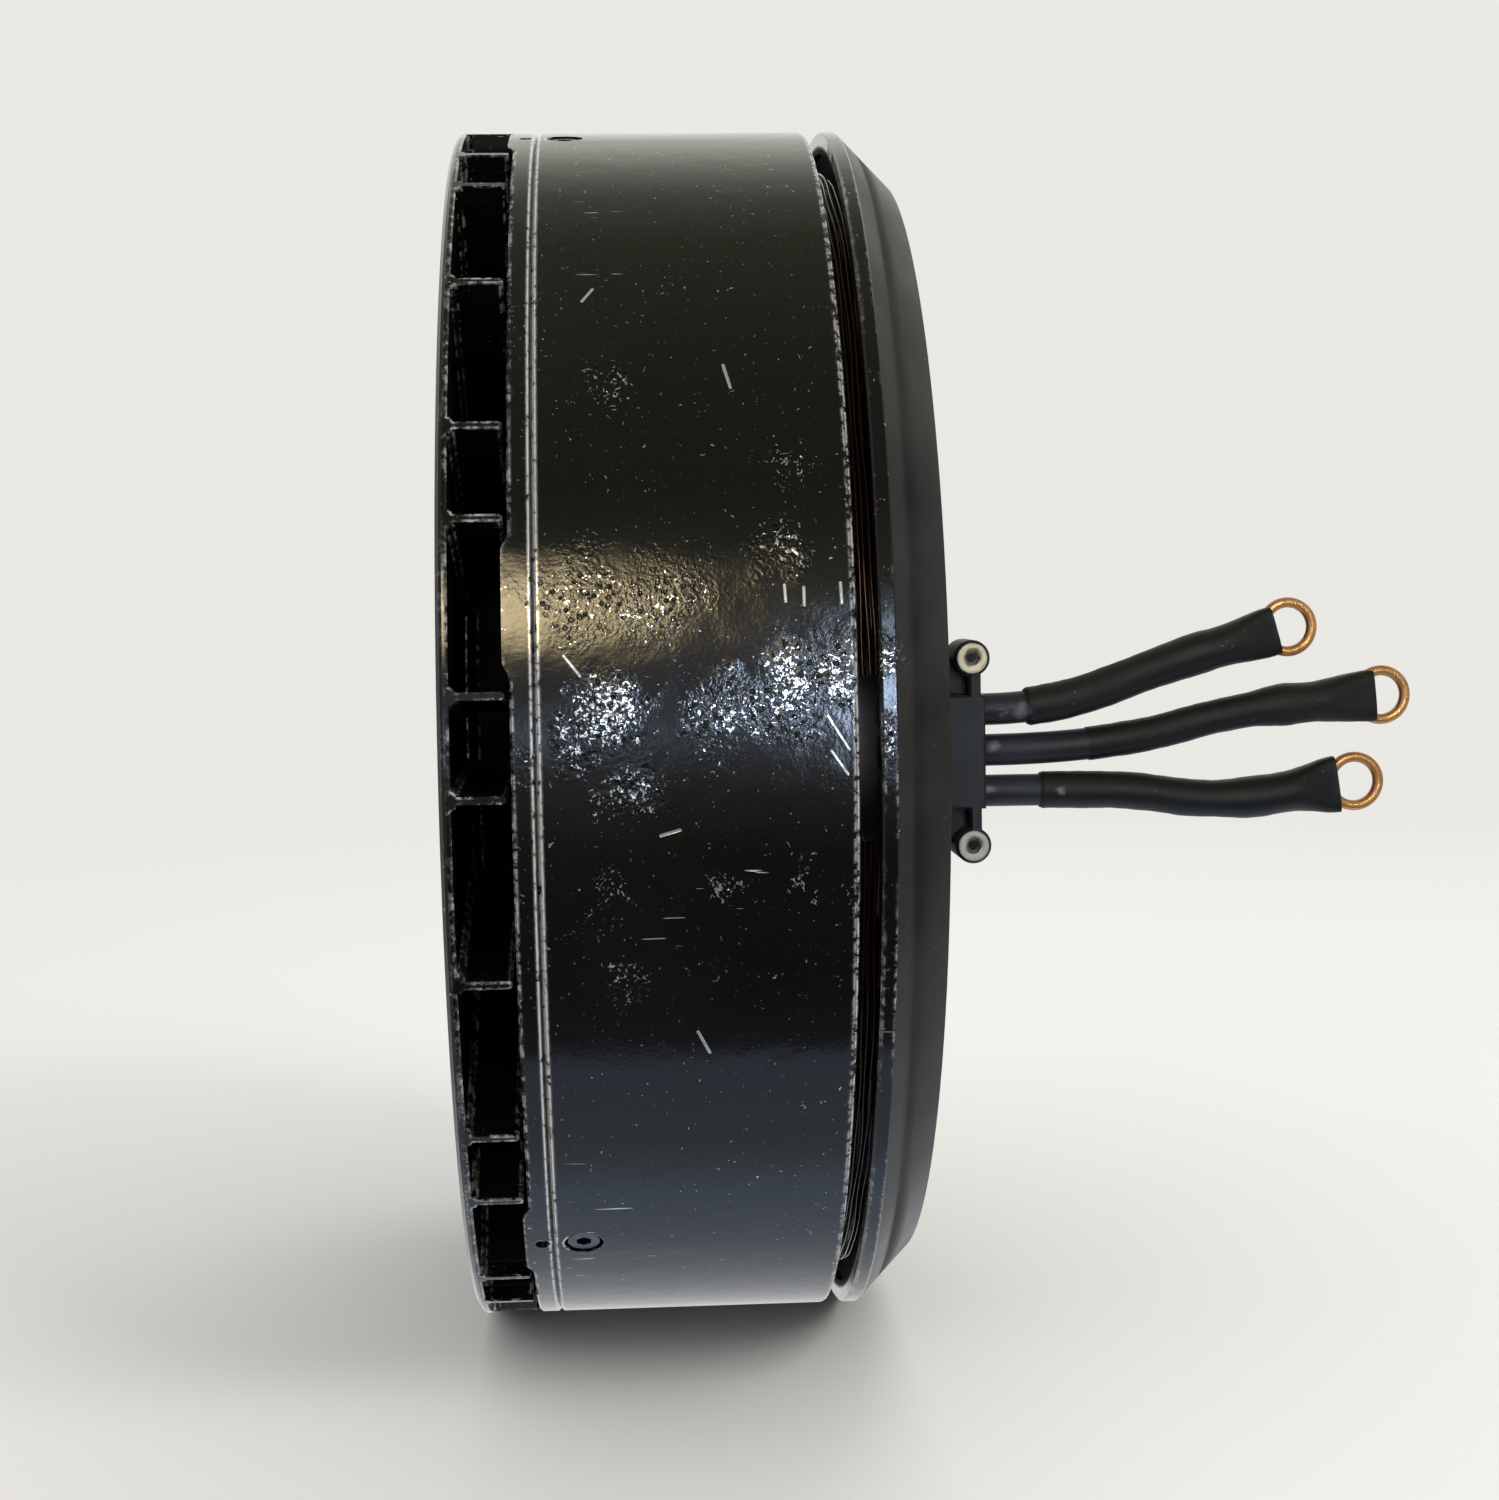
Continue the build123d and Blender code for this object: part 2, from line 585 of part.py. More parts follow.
with BuildPart() as fan_cover:
    turned([
        (FAN_FRONT_X, HUB_R + 0.3),
        (FAN_FRONT_X, RIM_R - 1.2),
        (FAN_FRONT_X + 0.5, RIM_R - 0.3),
        (FAN_FRONT_X + 0.9, RIM_R),
        (DISC_REAR_X - 0.2, RIM_R),
        (DISC_REAR_X, RIM_R - 0.2),
        (DISC_REAR_X, HUB_SHOULDER_R + 1.3),
        (SHOULDER_X, HUB_SHOULDER_R),
        (SHOULDER_X, HUB_R + 0.3),
    ])
    tube(FAN_FRONT_X, FAN_FRONT_X + 0.5, 60.0, 84.0, mode=Mode.SUBTRACT)
    for land in range(LANDS):
        for step in VANE_STEPS:
            with BuildSketch(radial_plane(land_angle(land) + step, VANE_ROOT_R)) as vane:
                half, wide = FAN_VANE / 2, FAN_VANE / 2 + VANE_FILLET
                neck = DISC_REAR_X + VANE_FILLET
                with BuildLine():
                    Polyline(
                        (wide, DISC_REAR_X),
                        (wide, DISC_REAR_X - VANE_SUNK),
                        (-wide, DISC_REAR_X - VANE_SUNK),
                        (-wide, DISC_REAR_X),
                    )
                    RadiusArc((-wide, DISC_REAR_X), (-half, neck), VANE_FILLET)
                    Polyline(
                        (-half, neck),
                        (-half, VANE_TIP_X - 0.35),
                        (-half + 0.3, VANE_TIP_X),
                        (half - 0.3, VANE_TIP_X),
                        (half, VANE_TIP_X - 0.35),
                        (half, neck),
                    )
                    RadiusArc((half, neck), (wide, DISC_REAR_X), VANE_FILLET)
                make_face()
            extrude(vane.sketch, amount=RIM_R - VANE_ROOT_R + 1.0)
    tube(FAN_FRONT_X, SHOULDER_X + 10.0, 0, RIM_R, mode=Mode.INTERSECT)
    round_holes(FAN_FRONT_X, SHOULDER_X, M3_CLEAR_R, *FAN_CIRCLE)
    round_holes(FAN_FRONT_X, FAN_FRONT_X + FAN_SINK[1], FAN_SINK[0], *FAN_CIRCLE)
    for land in range(LANDS):
        with BuildSketch(across(FAN_FRONT_X)) as inlet:
            SlotArc(CenterArc((0, 0), 54.5, land_angle(land) + 12.0, 36.0), 4.0)
        extrude(inlet.sketch, amount=FAN_DISC + 1.5, mode=Mode.SUBTRACT)
keep(fan_cover, "fan_cover")

with BuildPart() as fan_screws:
    for seat in on_circle(FAN_FRONT_X + FAN_SINK[1], *FAN_CIRCLE, -1):
        socket_screw(seat, *FAN_SCREW)
keep(fan_screws, "fan_screws")


# ---------------------------------------------------------------- cable outlet

CLAMP_TOP_Y = -80.2
SPLIT = 0.1
BLOCK_BACK_Y = -71.6
BLOCK_HALF_Z = 7.4
LEAD_HOLE_R = LEAD_R + 0.03
TAIL_X = -8.4                      # where the leads start, just behind the jumpers


def outlet_outline(web_low_x):
    """The outlet's outline in its own (x, z): a middle block, a web and two round ears."""
    with Locations((BLOCK_REAR_X / 2, 0)):
        Rectangle(BLOCK_REAR_X, 2 * BLOCK_HALF_Z)
    web_high_x = EAR_X + EAR_R - 1.2
    with Locations(((web_low_x + web_high_x) / 2, 0)):
        Rectangle(web_high_x - web_low_x, 2 * EAR_Z)
    with Locations((EAR_X, EAR_Z), (EAR_X, -EAR_Z)):
        Circle(EAR_R)


def facing_minus_y(y):
    """The plane square to Y at y that faces -Y: its own x is +X and its own y is +Z."""
    return Plane(origin=(0, y, 0), x_dir=(1, 0, 0), z_dir=(0, -1, 0))


def lead_holes(x_from, x_to):
    """The three lead passages, along X."""
    with BuildSketch(across(x_from)) as passages:
        with Locations((LEAD_Y, LEAD_PITCH), (LEAD_Y, 0), (LEAD_Y, -LEAD_PITCH)):
            Circle(LEAD_HOLE_R)
    extrude(passages.sketch, amount=x_to - x_from, mode=Mode.SUBTRACT)


with BuildPart() as clamp_plate:
    with BuildSketch(facing_minus_y(LEAD_Y - SPLIT)) as plate:
        outlet_outline(EAR_X - 0.4)
    extrude(plate.sketch, amount=LEAD_Y - SPLIT - CLAMP_TOP_Y)
    outside = clamp_plate.faces().sort_by(Axis.Y)[0].edges()
    chamfer(outside, EDGE)
    lead_holes(0.0, BLOCK_REAR_X)
    with BuildSketch(facing_minus_y(LEAD_Y)) as screw_holes:
        with Locations((EAR_X, EAR_Z), (EAR_X, -EAR_Z)):
            Circle(M25_CLEAR_R)
    extrude(screw_holes.sketch, amount=6.0, mode=Mode.SUBTRACT)
    with BuildSketch(facing_minus_y(CLAMP_TOP_Y + CLAMP_SINK[1])) as screw_seats:
        with Locations((EAR_X, EAR_Z), (EAR_X, -EAR_Z)):
            Circle(CLAMP_SINK[0])
    extrude(screw_seats.sketch, amount=CLAMP_SINK[1] + 1.0, mode=Mode.SUBTRACT)
keep(clamp_plate, "clamp_plate")

with BuildPart() as cable_block:
    with BuildSketch(facing_minus_y(BLOCK_BACK_Y)) as body:
        outlet_outline(0.0)
    extrude(body.sketch, amount=BLOCK_BACK_Y - LEAD_Y - SPLIT)
    lead_holes(0.0, BLOCK_REAR_X)
    with BuildSketch(facing_minus_y(BLOCK_BACK_Y)) as screw_holes:
        with Locations((EAR_X, EAR_Z), (EAR_X, -EAR_Z)):
            Circle(M25_THREAD_R)
    extrude(screw_holes.sketch, amount=6.0, mode=Mode.SUBTRACT)
    with BuildSketch(across(0.0)) as fixing_holes:
        with Locations((BLOCK_SCREW_Y, BLOCK_SCREW_Z), (BLOCK_SCREW_Y, -BLOCK_SCREW_Z)):
            Circle(M2_THREAD_R)
    extrude(fixing_holes.sketch, amount=2.0, mode=Mode.SUBTRACT)
keep(cable_block, "cable_block")

with BuildPart() as clamp_screws:
    for side in (1, -1):
        seat = Plane(origin=(EAR_X, CLAMP_TOP_Y + CLAMP_SINK[1], side * EAR_Z), x_dir=(1, 0, 0), z_dir=(0, -1, 0))
        socket_screw(seat, *CLAMP_SCREW)
keep(clamp_screws, "clamp_screws")

with BuildPart() as block_screws:
    for side in (1, -1):
        seat = Plane(origin=(-PLATE, BLOCK_SCREW_Y, side * BLOCK_SCREW_Z), x_dir=(0, 1, 0), z_dir=(-1, 0, 0))
        socket_screw(seat, *BLOCK_SCREW)
keep(block_screws, "block_screws")

with BuildPart() as lead_tails:
    with BuildSketch(across(TAIL_X)):
        with Locations((LEAD_Y, LEAD_PITCH), (LEAD_Y, 0), (LEAD_Y, -LEAD_PITCH)):
            Circle(LEAD_R)
    extrude(amount=BLOCK_REAR_X - TAIL_X)
keep(lead_tails, "lead_tails")


# ---------------------------------------------------------------- leads, sleeves and ring lugs

def corner_radii(route):
    """The arc at each corner of a route: 0.45 of its shorter run over the tangent of half the turn."""
    radii = []
    for before, corner, after in zip(route, route[1:], route[2:]):
        first, second = Vector(*corner) - Vector(*before), Vector(*after) - Vector(*corner)
        half_turn = math.radians(first.get_angle(second)) / 2
        radii.append(0.45 * min(first.length, second.length) / math.tan(half_turn))
    return radii


def along(route, x_of_start, section_r, hole_r):
    """A tube along a route, kept from x_of_start onwards."""
    points = [(x, LEAD_Y, z) for x, z in route]
    with BuildLine():
        path = FilletPolyline(*points, radius=corner_radii(points))
    with BuildSketch(across(points[0][0])) as section:
        with Locations((LEAD_Y, points[0][2])):
            Circle(section_r)
            if hole_r:
                Circle(hole_r, mode=Mode.SUBTRACT)
    sweep(section.sketch, path=path)
    split(bisect_by=across(x_of_start), keep=Keep.TOP)
    return path.length


# Reach past the end of the lead, half thickness, half width and corner of the sleeve as it flattens.
SLEEVE_STATIONS = ((-0.6, 2.62, 2.62, 2.6), (4.4, 2.5, 3.1, 2.2), (SLEEVE_CUT, 1.4, 3.9, 1.15))

for number, route in LEAD_ROUTES.items():
    (x0, z0), (x1, z1) = route[-2:]
    run = math.hypot(x1 - x0, z1 - z0)
    ahead = Vector((x1 - x0) / run, 0, (z1 - z0) / run)
    lead_end = Vector(x1, LEAD_Y, z1)
    ring_middle = lead_end + ahead * LUG_REACH
    flat = Plane(origin=ring_middle, x_dir=ahead, z_dir=(0, -1, 0))
    points = [(x, LEAD_Y, z) for x, z in route]

    with BuildPart() as lead:
        length = along(route, route[0][0], LEAD_R, 0)
    keep(lead, f"phase_lead_{number}")
    share = lead.part.volume / (math.pi * LEAD_R**2 * length)
    print(f"lead {number}: length {length:.2f}, volume share {share:.4f}, "
          f"radii {[round(r, 1) for r in corner_radii(points)]}")

    with BuildPart() as lug:
        with BuildSketch(flat.offset(-LUG_T / 2)) as ring:
            Circle(LUG_R)
            with Locations((-LUG_REACH / 2, 0)):
                Rectangle(LUG_REACH - 3.0, LUG_NECK_W)
            Circle(LUG_HOLE_R, mode=Mode.SUBTRACT)
        extrude(ring.sketch, amount=LUG_T)
        with BuildSketch(Plane(origin=lead_end, x_dir=(0, 1, 0), z_dir=ahead)) as barrel:
            Circle(LEAD_R + 0.1)
        extrude(barrel.sketch, amount=LUG_BARREL)
    keep(lug, f"ring_lug_{number}")

    with BuildPart() as sleeve:
        along(route, SLEEVES[number], SLEEVE_R, LEAD_R)
        sections = []
        for reach, half_t, half_w, corner in SLEEVE_STATIONS:
            centre = lead_end + ahead * reach
            with BuildSketch(Plane(origin=centre, x_dir=(0, -1, 0), z_dir=ahead)) as station:
                RectangleRounded(2 * half_t, 2 * half_w, corner)
            sections.append(station.sketch)
        loft(sections, ruled=True)
        add(lead.part, mode=Mode.SUBTRACT)
        add(lug.part, mode=Mode.SUBTRACT)
    keep(sleeve, f"lead_sleeve_{number}")
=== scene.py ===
import math
import random

import bpy
from mathutils import Matrix, Vector


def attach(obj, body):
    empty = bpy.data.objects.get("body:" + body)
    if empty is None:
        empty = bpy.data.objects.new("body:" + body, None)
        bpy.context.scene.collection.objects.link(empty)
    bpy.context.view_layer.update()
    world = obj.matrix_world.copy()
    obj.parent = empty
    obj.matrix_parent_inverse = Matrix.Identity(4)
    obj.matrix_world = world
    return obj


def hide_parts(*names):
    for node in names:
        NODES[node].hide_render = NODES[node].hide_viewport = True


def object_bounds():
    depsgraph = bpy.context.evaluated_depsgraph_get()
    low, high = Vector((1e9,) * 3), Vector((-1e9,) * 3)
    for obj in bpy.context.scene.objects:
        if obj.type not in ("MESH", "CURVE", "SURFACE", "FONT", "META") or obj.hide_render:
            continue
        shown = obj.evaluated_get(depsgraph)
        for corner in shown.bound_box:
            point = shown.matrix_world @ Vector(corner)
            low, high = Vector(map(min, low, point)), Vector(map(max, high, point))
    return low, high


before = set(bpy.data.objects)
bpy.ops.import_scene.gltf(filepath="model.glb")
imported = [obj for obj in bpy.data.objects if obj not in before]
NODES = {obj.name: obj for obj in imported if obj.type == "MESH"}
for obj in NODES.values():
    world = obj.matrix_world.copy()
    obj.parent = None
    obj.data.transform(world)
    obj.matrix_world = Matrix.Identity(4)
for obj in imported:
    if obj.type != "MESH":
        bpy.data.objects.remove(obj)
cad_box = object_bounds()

MM = 0.001

# ---------------------------------------------------------------- camera

CAMERA_PLACE = (-0.04306, -0.38687, 0.02287)
CAMERA_BACK = (-0.0569, -0.9958, 0.0714)
CAMERA_UP = (0.0202, 0.0703, 0.9973)
CAMERA_LENS = 57.27


def make_camera():
    """The camera square to the side of the motor, a little above its middle."""
    back = Vector(CAMERA_BACK).normalized()
    right = Vector(CAMERA_UP).cross(back).normalized()
    up = back.cross(right)
    data = bpy.data.cameras.new("camera")
    data.lens = CAMERA_LENS
    data.sensor_width = 36.0
    camera = bpy.data.objects.new("camera", data)
    turn = Matrix((right, up, back)).transposed()
    camera.matrix_world = Matrix.Translation(CAMERA_PLACE) @ turn.to_4x4()
    bpy.context.collection.objects.link(camera)
    bpy.context.scene.camera = camera


make_camera()


# ---------------------------------------------------------------- node helpers

class Shader:
    """A material's node tree, with short calls for the nodes used here."""

    def __init__(self, name):
        self.material = bpy.data.materials.new(name)
        self.material.use_nodes = True
        self.tree = self.material.node_tree
        self.tree.nodes.clear()
        self.coordinates = self.add("ShaderNodeTexCoord").outputs["Object"]

    def add(self, kind, inputs=None, **settings):
        node = self.tree.nodes.new(kind)
        for key, value in settings.items():
            setattr(node, key, value)
        for key, value in (inputs or {}).items():
            if isinstance(value, bpy.types.NodeSocket):
                self.tree.links.new(value, node.inputs[key])
            else:
                node.inputs[key].default_value = value
        return node

    def stretch(self, factors, turn=(0, 0, 0)):
        """The coordinates scaled by factors after a turn."""
        return self.add("ShaderNodeMapping", {0: self.coordinates, "Rotation": turn, "Scale": factors}).outputs[0]

    def noise(self, scale, detail=2.0, roughness=0.5, vector=None, distortion=0.0):
        return self.add("ShaderNodeTexNoise", {
            "Vector": vector or self.coordinates, "Scale": scale, "Detail": detail,
            "Roughness": roughness, "Distortion": distortion,
        }).outputs["Fac"]

    def cells(self, scale, vector=None, feature="F1"):
        """Distance to the nearest of scattered points."""
        return self.add(
            "ShaderNodeTexVoronoi", {"Vector": vector or self.coordinates, "Scale": scale}, feature=feature,
        ).outputs["Distance"]

    def math(self, operation, a, b=0.0, clamp=False):
        return self.add("ShaderNodeMath", {0: a, 1: b}, operation=operation, use_clamp=clamp).outputs[0]

    def span(self, value, low, high, to_low=0.0, to_high=1.0):
        """value taken from low…high to to_low…to_high, held at the ends."""
        return self.add("ShaderNodeMapRange", {0: value, 1: low, 2: high, 3: to_low, 4: to_high}).outputs[0]

    def mix(self, share, a, b):
        """The colour between a and b."""
        node = self.add("ShaderNodeMix", data_type="RGBA")
        sockets = {"Factor": share, "A": a, "B": b}
        for name, value in sockets.items():
            kind = "VALUE" if name == "Factor" else "RGBA"
            socket = [s for s in node.inputs if s.name == name and s.type == kind][0]
            if isinstance(value, bpy.types.NodeSocket):
                self.tree.links.new(value, socket)
            else:
                socket.default_value = value if kind == "VALUE" else (*value, 1.0)
        return [s for s in node.outputs if s.type == "RGBA"][0]

    def bump(self, height, strength, distance, normal=None):
        inputs = {"Height": height, "Strength": strength, "Distance": distance}
        if normal is not None:
            inputs["Normal"] = normal
        return self.add("ShaderNodeBump", inputs).outputs[0]

    def axes(self):
        return self.add("ShaderNodeSeparateXYZ", {0: self.coordinates}).outputs

    def edges(self, radius, low=0.0, high=0.12):
        """1 along sharp outer edges and 0 elsewhere."""
        rounded = self.add("ShaderNodeBevel", {"Radius": radius}, samples=4).outputs[0]
        normal = self.add("ShaderNodeNewGeometry").outputs["Normal"]
        same = self.add("ShaderNodeVectorMath", {0: rounded, 1: normal}, operation="DOT_PRODUCT").outputs["Value"]
        return self.span(self.math("SUBTRACT", 1.0, same), low, high)

    def from_point(self, point):
        """Distance to a point."""
        apart = self.add("ShaderNodeVectorMath", {0: self.coordinates, 1: point}, operation="DISTANCE")
        return apart.outputs["Value"]

    def from_spin_axis(self):
        """Distance to the motor's axis."""
        across = self.add("ShaderNodeVectorMath", {0: self.coordinates, 1: (0.0, 1.0, 1.0)}, operation="MULTIPLY")
        return self.add("ShaderNodeVectorMath", {0: across.outputs[0]}, operation="LENGTH").outputs["Value"]

    def within(self, distance, radius, core, amount=1.0):
        """amount nearer than core and 0 beyond radius, both in millimetres."""
        return self.span(distance, radius * MM, core * MM, 0.0, amount)

    def from_line(self, start, end):
        """Distance to the straight line between two points."""
        def vectors(operation, a, b=None):
            inputs = {0: a} if b is None else {0: a, 1: b}
            return self.add("ShaderNodeVectorMath", inputs, operation=operation)

        apart = vectors("SUBTRACT", self.coordinates, start).outputs[0]
        along = vectors("DOT_PRODUCT", apart, end - start).outputs["Value"]
        share = self.math("DIVIDE", along, (end - start).length_squared, clamp=True)
        step = self.add("ShaderNodeVectorMath", {0: end - start, "Scale": share}, operation="SCALE").outputs[0]
        return vectors("LENGTH", vectors("SUBTRACT", apart, step).outputs[0]).outputs["Value"]

    def finish(self, **inputs):
        """The surface shader with these inputs; a plain value goes on the shader's own socket."""
        shader = self.add("ShaderNodeBsdfPrincipled")
        for key, value in inputs.items():
            socket = shader.inputs[key.replace("_", " ")]
            if isinstance(value, bpy.types.NodeSocket):
                self.tree.links.new(value, socket)
            else:
                socket.default_value = (*value, 1.0) if isinstance(value, tuple) and len(value) == 3 else value
        self.add("ShaderNodeOutputMaterial", {"Surface": shader.outputs[0]})
        return self.material


# ---------------------------------------------------------------- materials

BELL_R = 92.5
SEAM_X = -52.0
BELL_REAR_X = -12.5
# Rough areas of the paint, speckled with painted glints: x in millimetres, degrees up from -Y, radius in millimetres,
# and how rough.
PATCHES = [
    (-44.0, 3.5, 8.0, 1.0), (-40.5, -1.5, 6.0, 0.8), (-46.0, 13.0, 8.0, 0.45), (-38.0, 13.0, 8.0, 0.4),
    (-20.0, 5.5, 6.5, 1.0), (-14.5, 6.5, 6.5, 1.0), (-26.5, 4.5, 6.0, 0.9), (-32.0, 4.0, 4.0, 0.6),
    (-19.0, -9.0, 3.5, 0.8), (-30.0, -9.5, 3.5, 0.8), (-43.0, -10.0, 3.0, 0.7), (-43.0, 31.0, 5.0, 0.5),
    (-20.0, 24.0, 5.0, 0.6), (-22.0, 17.0, 5.0, 0.5), (-10.0, 8.0, 4.0, 0.9), (-10.0, 3.0, 4.0, 0.9),
    (-41.0, -17.0, 4.0, 0.5),
]
# Both ends of each scratch: x in millimetres, degrees up from -Y.
SCRATCHES = [
    ((-16.4, 3.6), (-13.8, 1.0)), ((-16.0, 0.9), (-14.0, -0.9)), ((-21.4, 13.8), (-21.3, 12.5)),
    ((-19.0, 13.6), (-19.0, 12.2)), ((-14.4, 13.9), (-14.3, 12.3)), ((-49.0, 8.6), (-47.0, 7.0)),
    ((-37.4, -5.4), (-35.0, -5.0)), ((-28.0, 33.0), (-27.2, 30.8)), ((-33.0, -22.0), (-31.5, -24.0)),
    ((-46.0, 40.0), (-44.6, 41.4)),
]


def on_bell(x, angle):
    """A point of the bell's surface: x in millimetres, angle in degrees up from -Y."""
    turn = math.radians(angle)
    return Vector((x, -BELL_R * math.cos(turn), BELL_R * math.sin(turn))) * MM


def rough_areas(s):
    """How rough the paint's surface is: from 0 up to each patch's own amount, with ragged borders."""
    border = s.span(s.noise(210.0, 3.0), 0.3, 0.7, -0.0025, 0.0025)
    rough = s.span(s.noise(70.0, 3.0), 0.6, 0.72, 0.0, 0.25)
    for x, angle, radius, amount in PATCHES:
        apart = s.math("ADD", s.from_point(on_bell(x, angle)), border)
        rough = s.math("MAXIMUM", rough, s.within(apart, radius, radius * 0.25, amount))
    return rough


def scratches(s):
    """Faint streaks in places, and the scratches of the list."""
    in_places = s.span(s.noise(31.0, 1.0), 0.6, 0.66)
    streak = s.span(s.noise(1.0, 1.0, vector=s.stretch((150, 2100, 2100), (0, 0.6, 0.3))), 0.74, 0.77)
    streak = s.math("MULTIPLY", streak, in_places)
    for start, end in SCRATCHES:
        streak = s.math("MAXIMUM", streak, s.within(s.from_line(on_bell(*start), on_bell(*end)), 0.22, 0.1))
    return streak


def worn_and_highlit_edges(s, along):
    """Edges rubbed to the metal here and there, much more at the seam, the bell's rear edge and the fan. Being near
    white, they are partly wear and partly a painted highlight along those edges.
    """
    fine_chips = s.span(s.noise(900.0, 4.0, 0.75), 0.46, 0.62)
    rubbed = s.math("MULTIPLY", fine_chips, s.span(s.noise(65.0, 3.0), 0.48, 0.7, 0.0, 0.6))
    for edge, low in ((SEAM_X, 0.36), (BELL_REAR_X, 0.44)):
        apart = s.math("ABSOLUTE", s.math("SUBTRACT", along, edge * MM))
        # At the seam and the bell's rear edge: chips, and painted glints along the edge.
        glint_and_chip = s.span(s.noise(900.0, 3.0, 0.7), low, low + 0.12)
        rubbed = s.math("MAXIMUM", rubbed, s.math("MULTIPLY", s.within(apart, 1.6, 1.2), glint_and_chip))
    fan = s.math("MULTIPLY", s.span(along, -0.0535, -0.0545), s.span(along, -0.064, -0.0632))
    chipped = s.span(s.noise(600.0, 4.0, 0.7), 0.5, 0.62, 0.0, 0.7)
    rubbed = s.math("MAXIMUM", rubbed, s.math("MULTIPLY", fan, chipped))
    return s.math("MULTIPLY", s.edges(0.0006, 0.005, 0.05), rubbed)


def hidden_inside(s, along):
    """1 on surfaces inside the motor, and 0 on its rim and both its outer ends."""
    inside = s.span(s.from_spin_axis(), 0.0908, 0.0898)
    for outer, inner in ((-0.0005, -0.0045), (-0.0642, -0.0636)):
        inside = s.math("MULTIPLY", inside, s.span(along, outer, inner))
    return inside


def gloss_paint(name, dark, roughness=0.1, satin_from=None):
    """Thick black gloss paint: orange peel, pitted patches with pale painted glints in them, dust, scratches and edges
    rubbed to the metal.
    The edges are near white, partly wear and partly a painted highlight. Inside the motor it is rougher and its
    reflection is turned down, a painted shade. Behind the plane x = satin_from it is satin, with smudges."""
    s = Shader(name)
    along = s.axes()["X"]
    rough = rough_areas(s)
    inside = hidden_inside(s, along)
    streak = scratches(s)
    worn_and_highlit = worn_and_highlit_edges(s, along)
    pits = s.math("MULTIPLY", s.span(s.cells(900.0), 0.34, 0.2), s.span(rough, 0.1, 0.4))
    # Painted glints: pale metallic specks, most of them in the rough patches. The listed scratches are added to them.
    glints_and_scratches = s.math("ADD", s.noise(1650.0, 3.0, 0.6, distortion=0.8), s.math("MULTIPLY", rough, 0.19))
    glints_and_scratches = s.math("MULTIPLY", s.span(glints_and_scratches, 0.705, 0.73), s.math("SUBTRACT", 1.0, inside))
    glints_and_scratches = s.math("MAXIMUM", glints_and_scratches, streak)
    dust = s.math("MULTIPLY", s.span(s.cells(420.0), 0.075, 0.04), s.span(s.noise(120.0, 2.0), 0.48, 0.6))
    scuff = s.span(s.noise(24.0, 5.0, 0.65), 0.52, 0.74)
    colour = s.mix(s.math("MULTIPLY", scuff, 0.4), dark, tuple(c * 3.0 for c in dark))
    colour = s.mix(s.math("MULTIPLY", dust, 0.6), colour, (0.3, 0.29, 0.27))
    # Painted glints and scratches, in a pale blue-white.
    colour = s.mix(glints_and_scratches, colour, (0.8, 0.82, 0.86))
    # Near-white edges: partly metal rubbed bare, partly a painted highlight.
    colour = s.mix(worn_and_highlit, colour, (0.99, 0.985, 0.97))
    glints_and_bare_metal = s.math("MAXIMUM", s.math("MULTIPLY", glints_and_scratches, 0.85), s.math("MULTIPLY", worn_and_highlit, 0.3))
    gloss = s.math("ADD", s.math("MULTIPLY", s.noise(55.0, 4.0), 0.1), roughness - 0.05)
    gloss = s.math("ADD", gloss, s.math("MULTIPLY", scuff, 0.07))
    gloss = s.math("ADD", gloss, s.math("MULTIPLY", dust, 0.4), clamp=True)
    peel = s.math("MULTIPLY", s.noise(1800.0, 2.0, 0.5), s.span(rough, 0.0, 1.0, 0.1, 1.0))
    wave = s.math("MULTIPLY", s.noise(230.0, 1.5), s.span(rough, 0.0, 1.0, 0.5, 0.2))
    height = s.math("ADD", peel, wave)
    height = s.math("SUBTRACT", height, s.math("MULTIPLY", pits, 0.5))
    height = s.math("SUBTRACT", height, s.math("MULTIPLY", streak, 0.4))
    if satin_from is not None:
        behind = s.span(along, satin_from - 0.0001, satin_from + 0.0001)
        gloss = s.math("ADD", gloss, s.math("MULTIPLY", behind, s.span(s.noise(30.0, 4.0), 0.35, 0.65, 0.22, 0.36)))
        smudge = s.span(s.noise(17.0, 4.0, 0.6), 0.4, 0.62)
        satin = s.mix(smudge, (0.012, 0.012, 0.011), (0.042, 0.042, 0.039))
        colour = s.mix(s.math("MULTIPLY", behind, 0.75), colour, satin)
    gloss = s.math("MAXIMUM", gloss, s.math("MULTIPLY", inside, 0.6))
    # Specular tint turned down inside the motor as painted shade, and in the pits.
    dull = s.math("MAXIMUM", inside, s.math("MULTIPLY", pits, 0.8))
    return s.finish(
        Base_Color=colour, Roughness=gloss, Metallic=glints_and_bare_metal,
        Specular_Tint=s.mix(dull, (1.0, 1.0, 1.0), (0.12, 0.12, 0.12)),
        Normal=s.bump(height, 1.0, 0.0001),
    )


def metal(name, colour, dull, roughness, grain=900.0, stretch=(1.0, 1.0, 1.0), depth=0.00002):
    """Metal with fine grain, uneven polish, dull patches and brighter edges."""
    s = Shader(name)
    fine = s.noise(grain, 3.0, vector=s.stretch(stretch))
    patch = s.span(s.noise(90.0, 4.0, 0.6), 0.38, 0.68)
    rubbed = s.edges(0.0003)
    shade = s.mix(patch, colour, dull)
    shade = s.mix(s.math("MULTIPLY", rubbed, 0.4), shade, tuple(min(1.0, c * 1.3) for c in colour))
    polish = s.math("ADD", s.math("MULTIPLY", patch, 0.14), s.math("MULTIPLY", fine, 0.12))
    return s.finish(
        Base_Color=shade, Metallic=1.0, Roughness=s.math("ADD", polish, roughness - 0.1),
        Normal=s.bump(fine, 0.4, depth),
    )


# Painted highlights on the leads and sleeves, pale blue-grey: place and radius in millimetres.
HIGHLIGHT_SPOTS = [
    (10.0, -79.0, 5.0, 1.5), (6.3, -79.0, 0.8, 1.1), (15.4, -79.2, -5.4, 0.75),
    (6.0, -78.5, -5.0, 0.9), (8.2, -79.0, 4.9, 1.0),
]


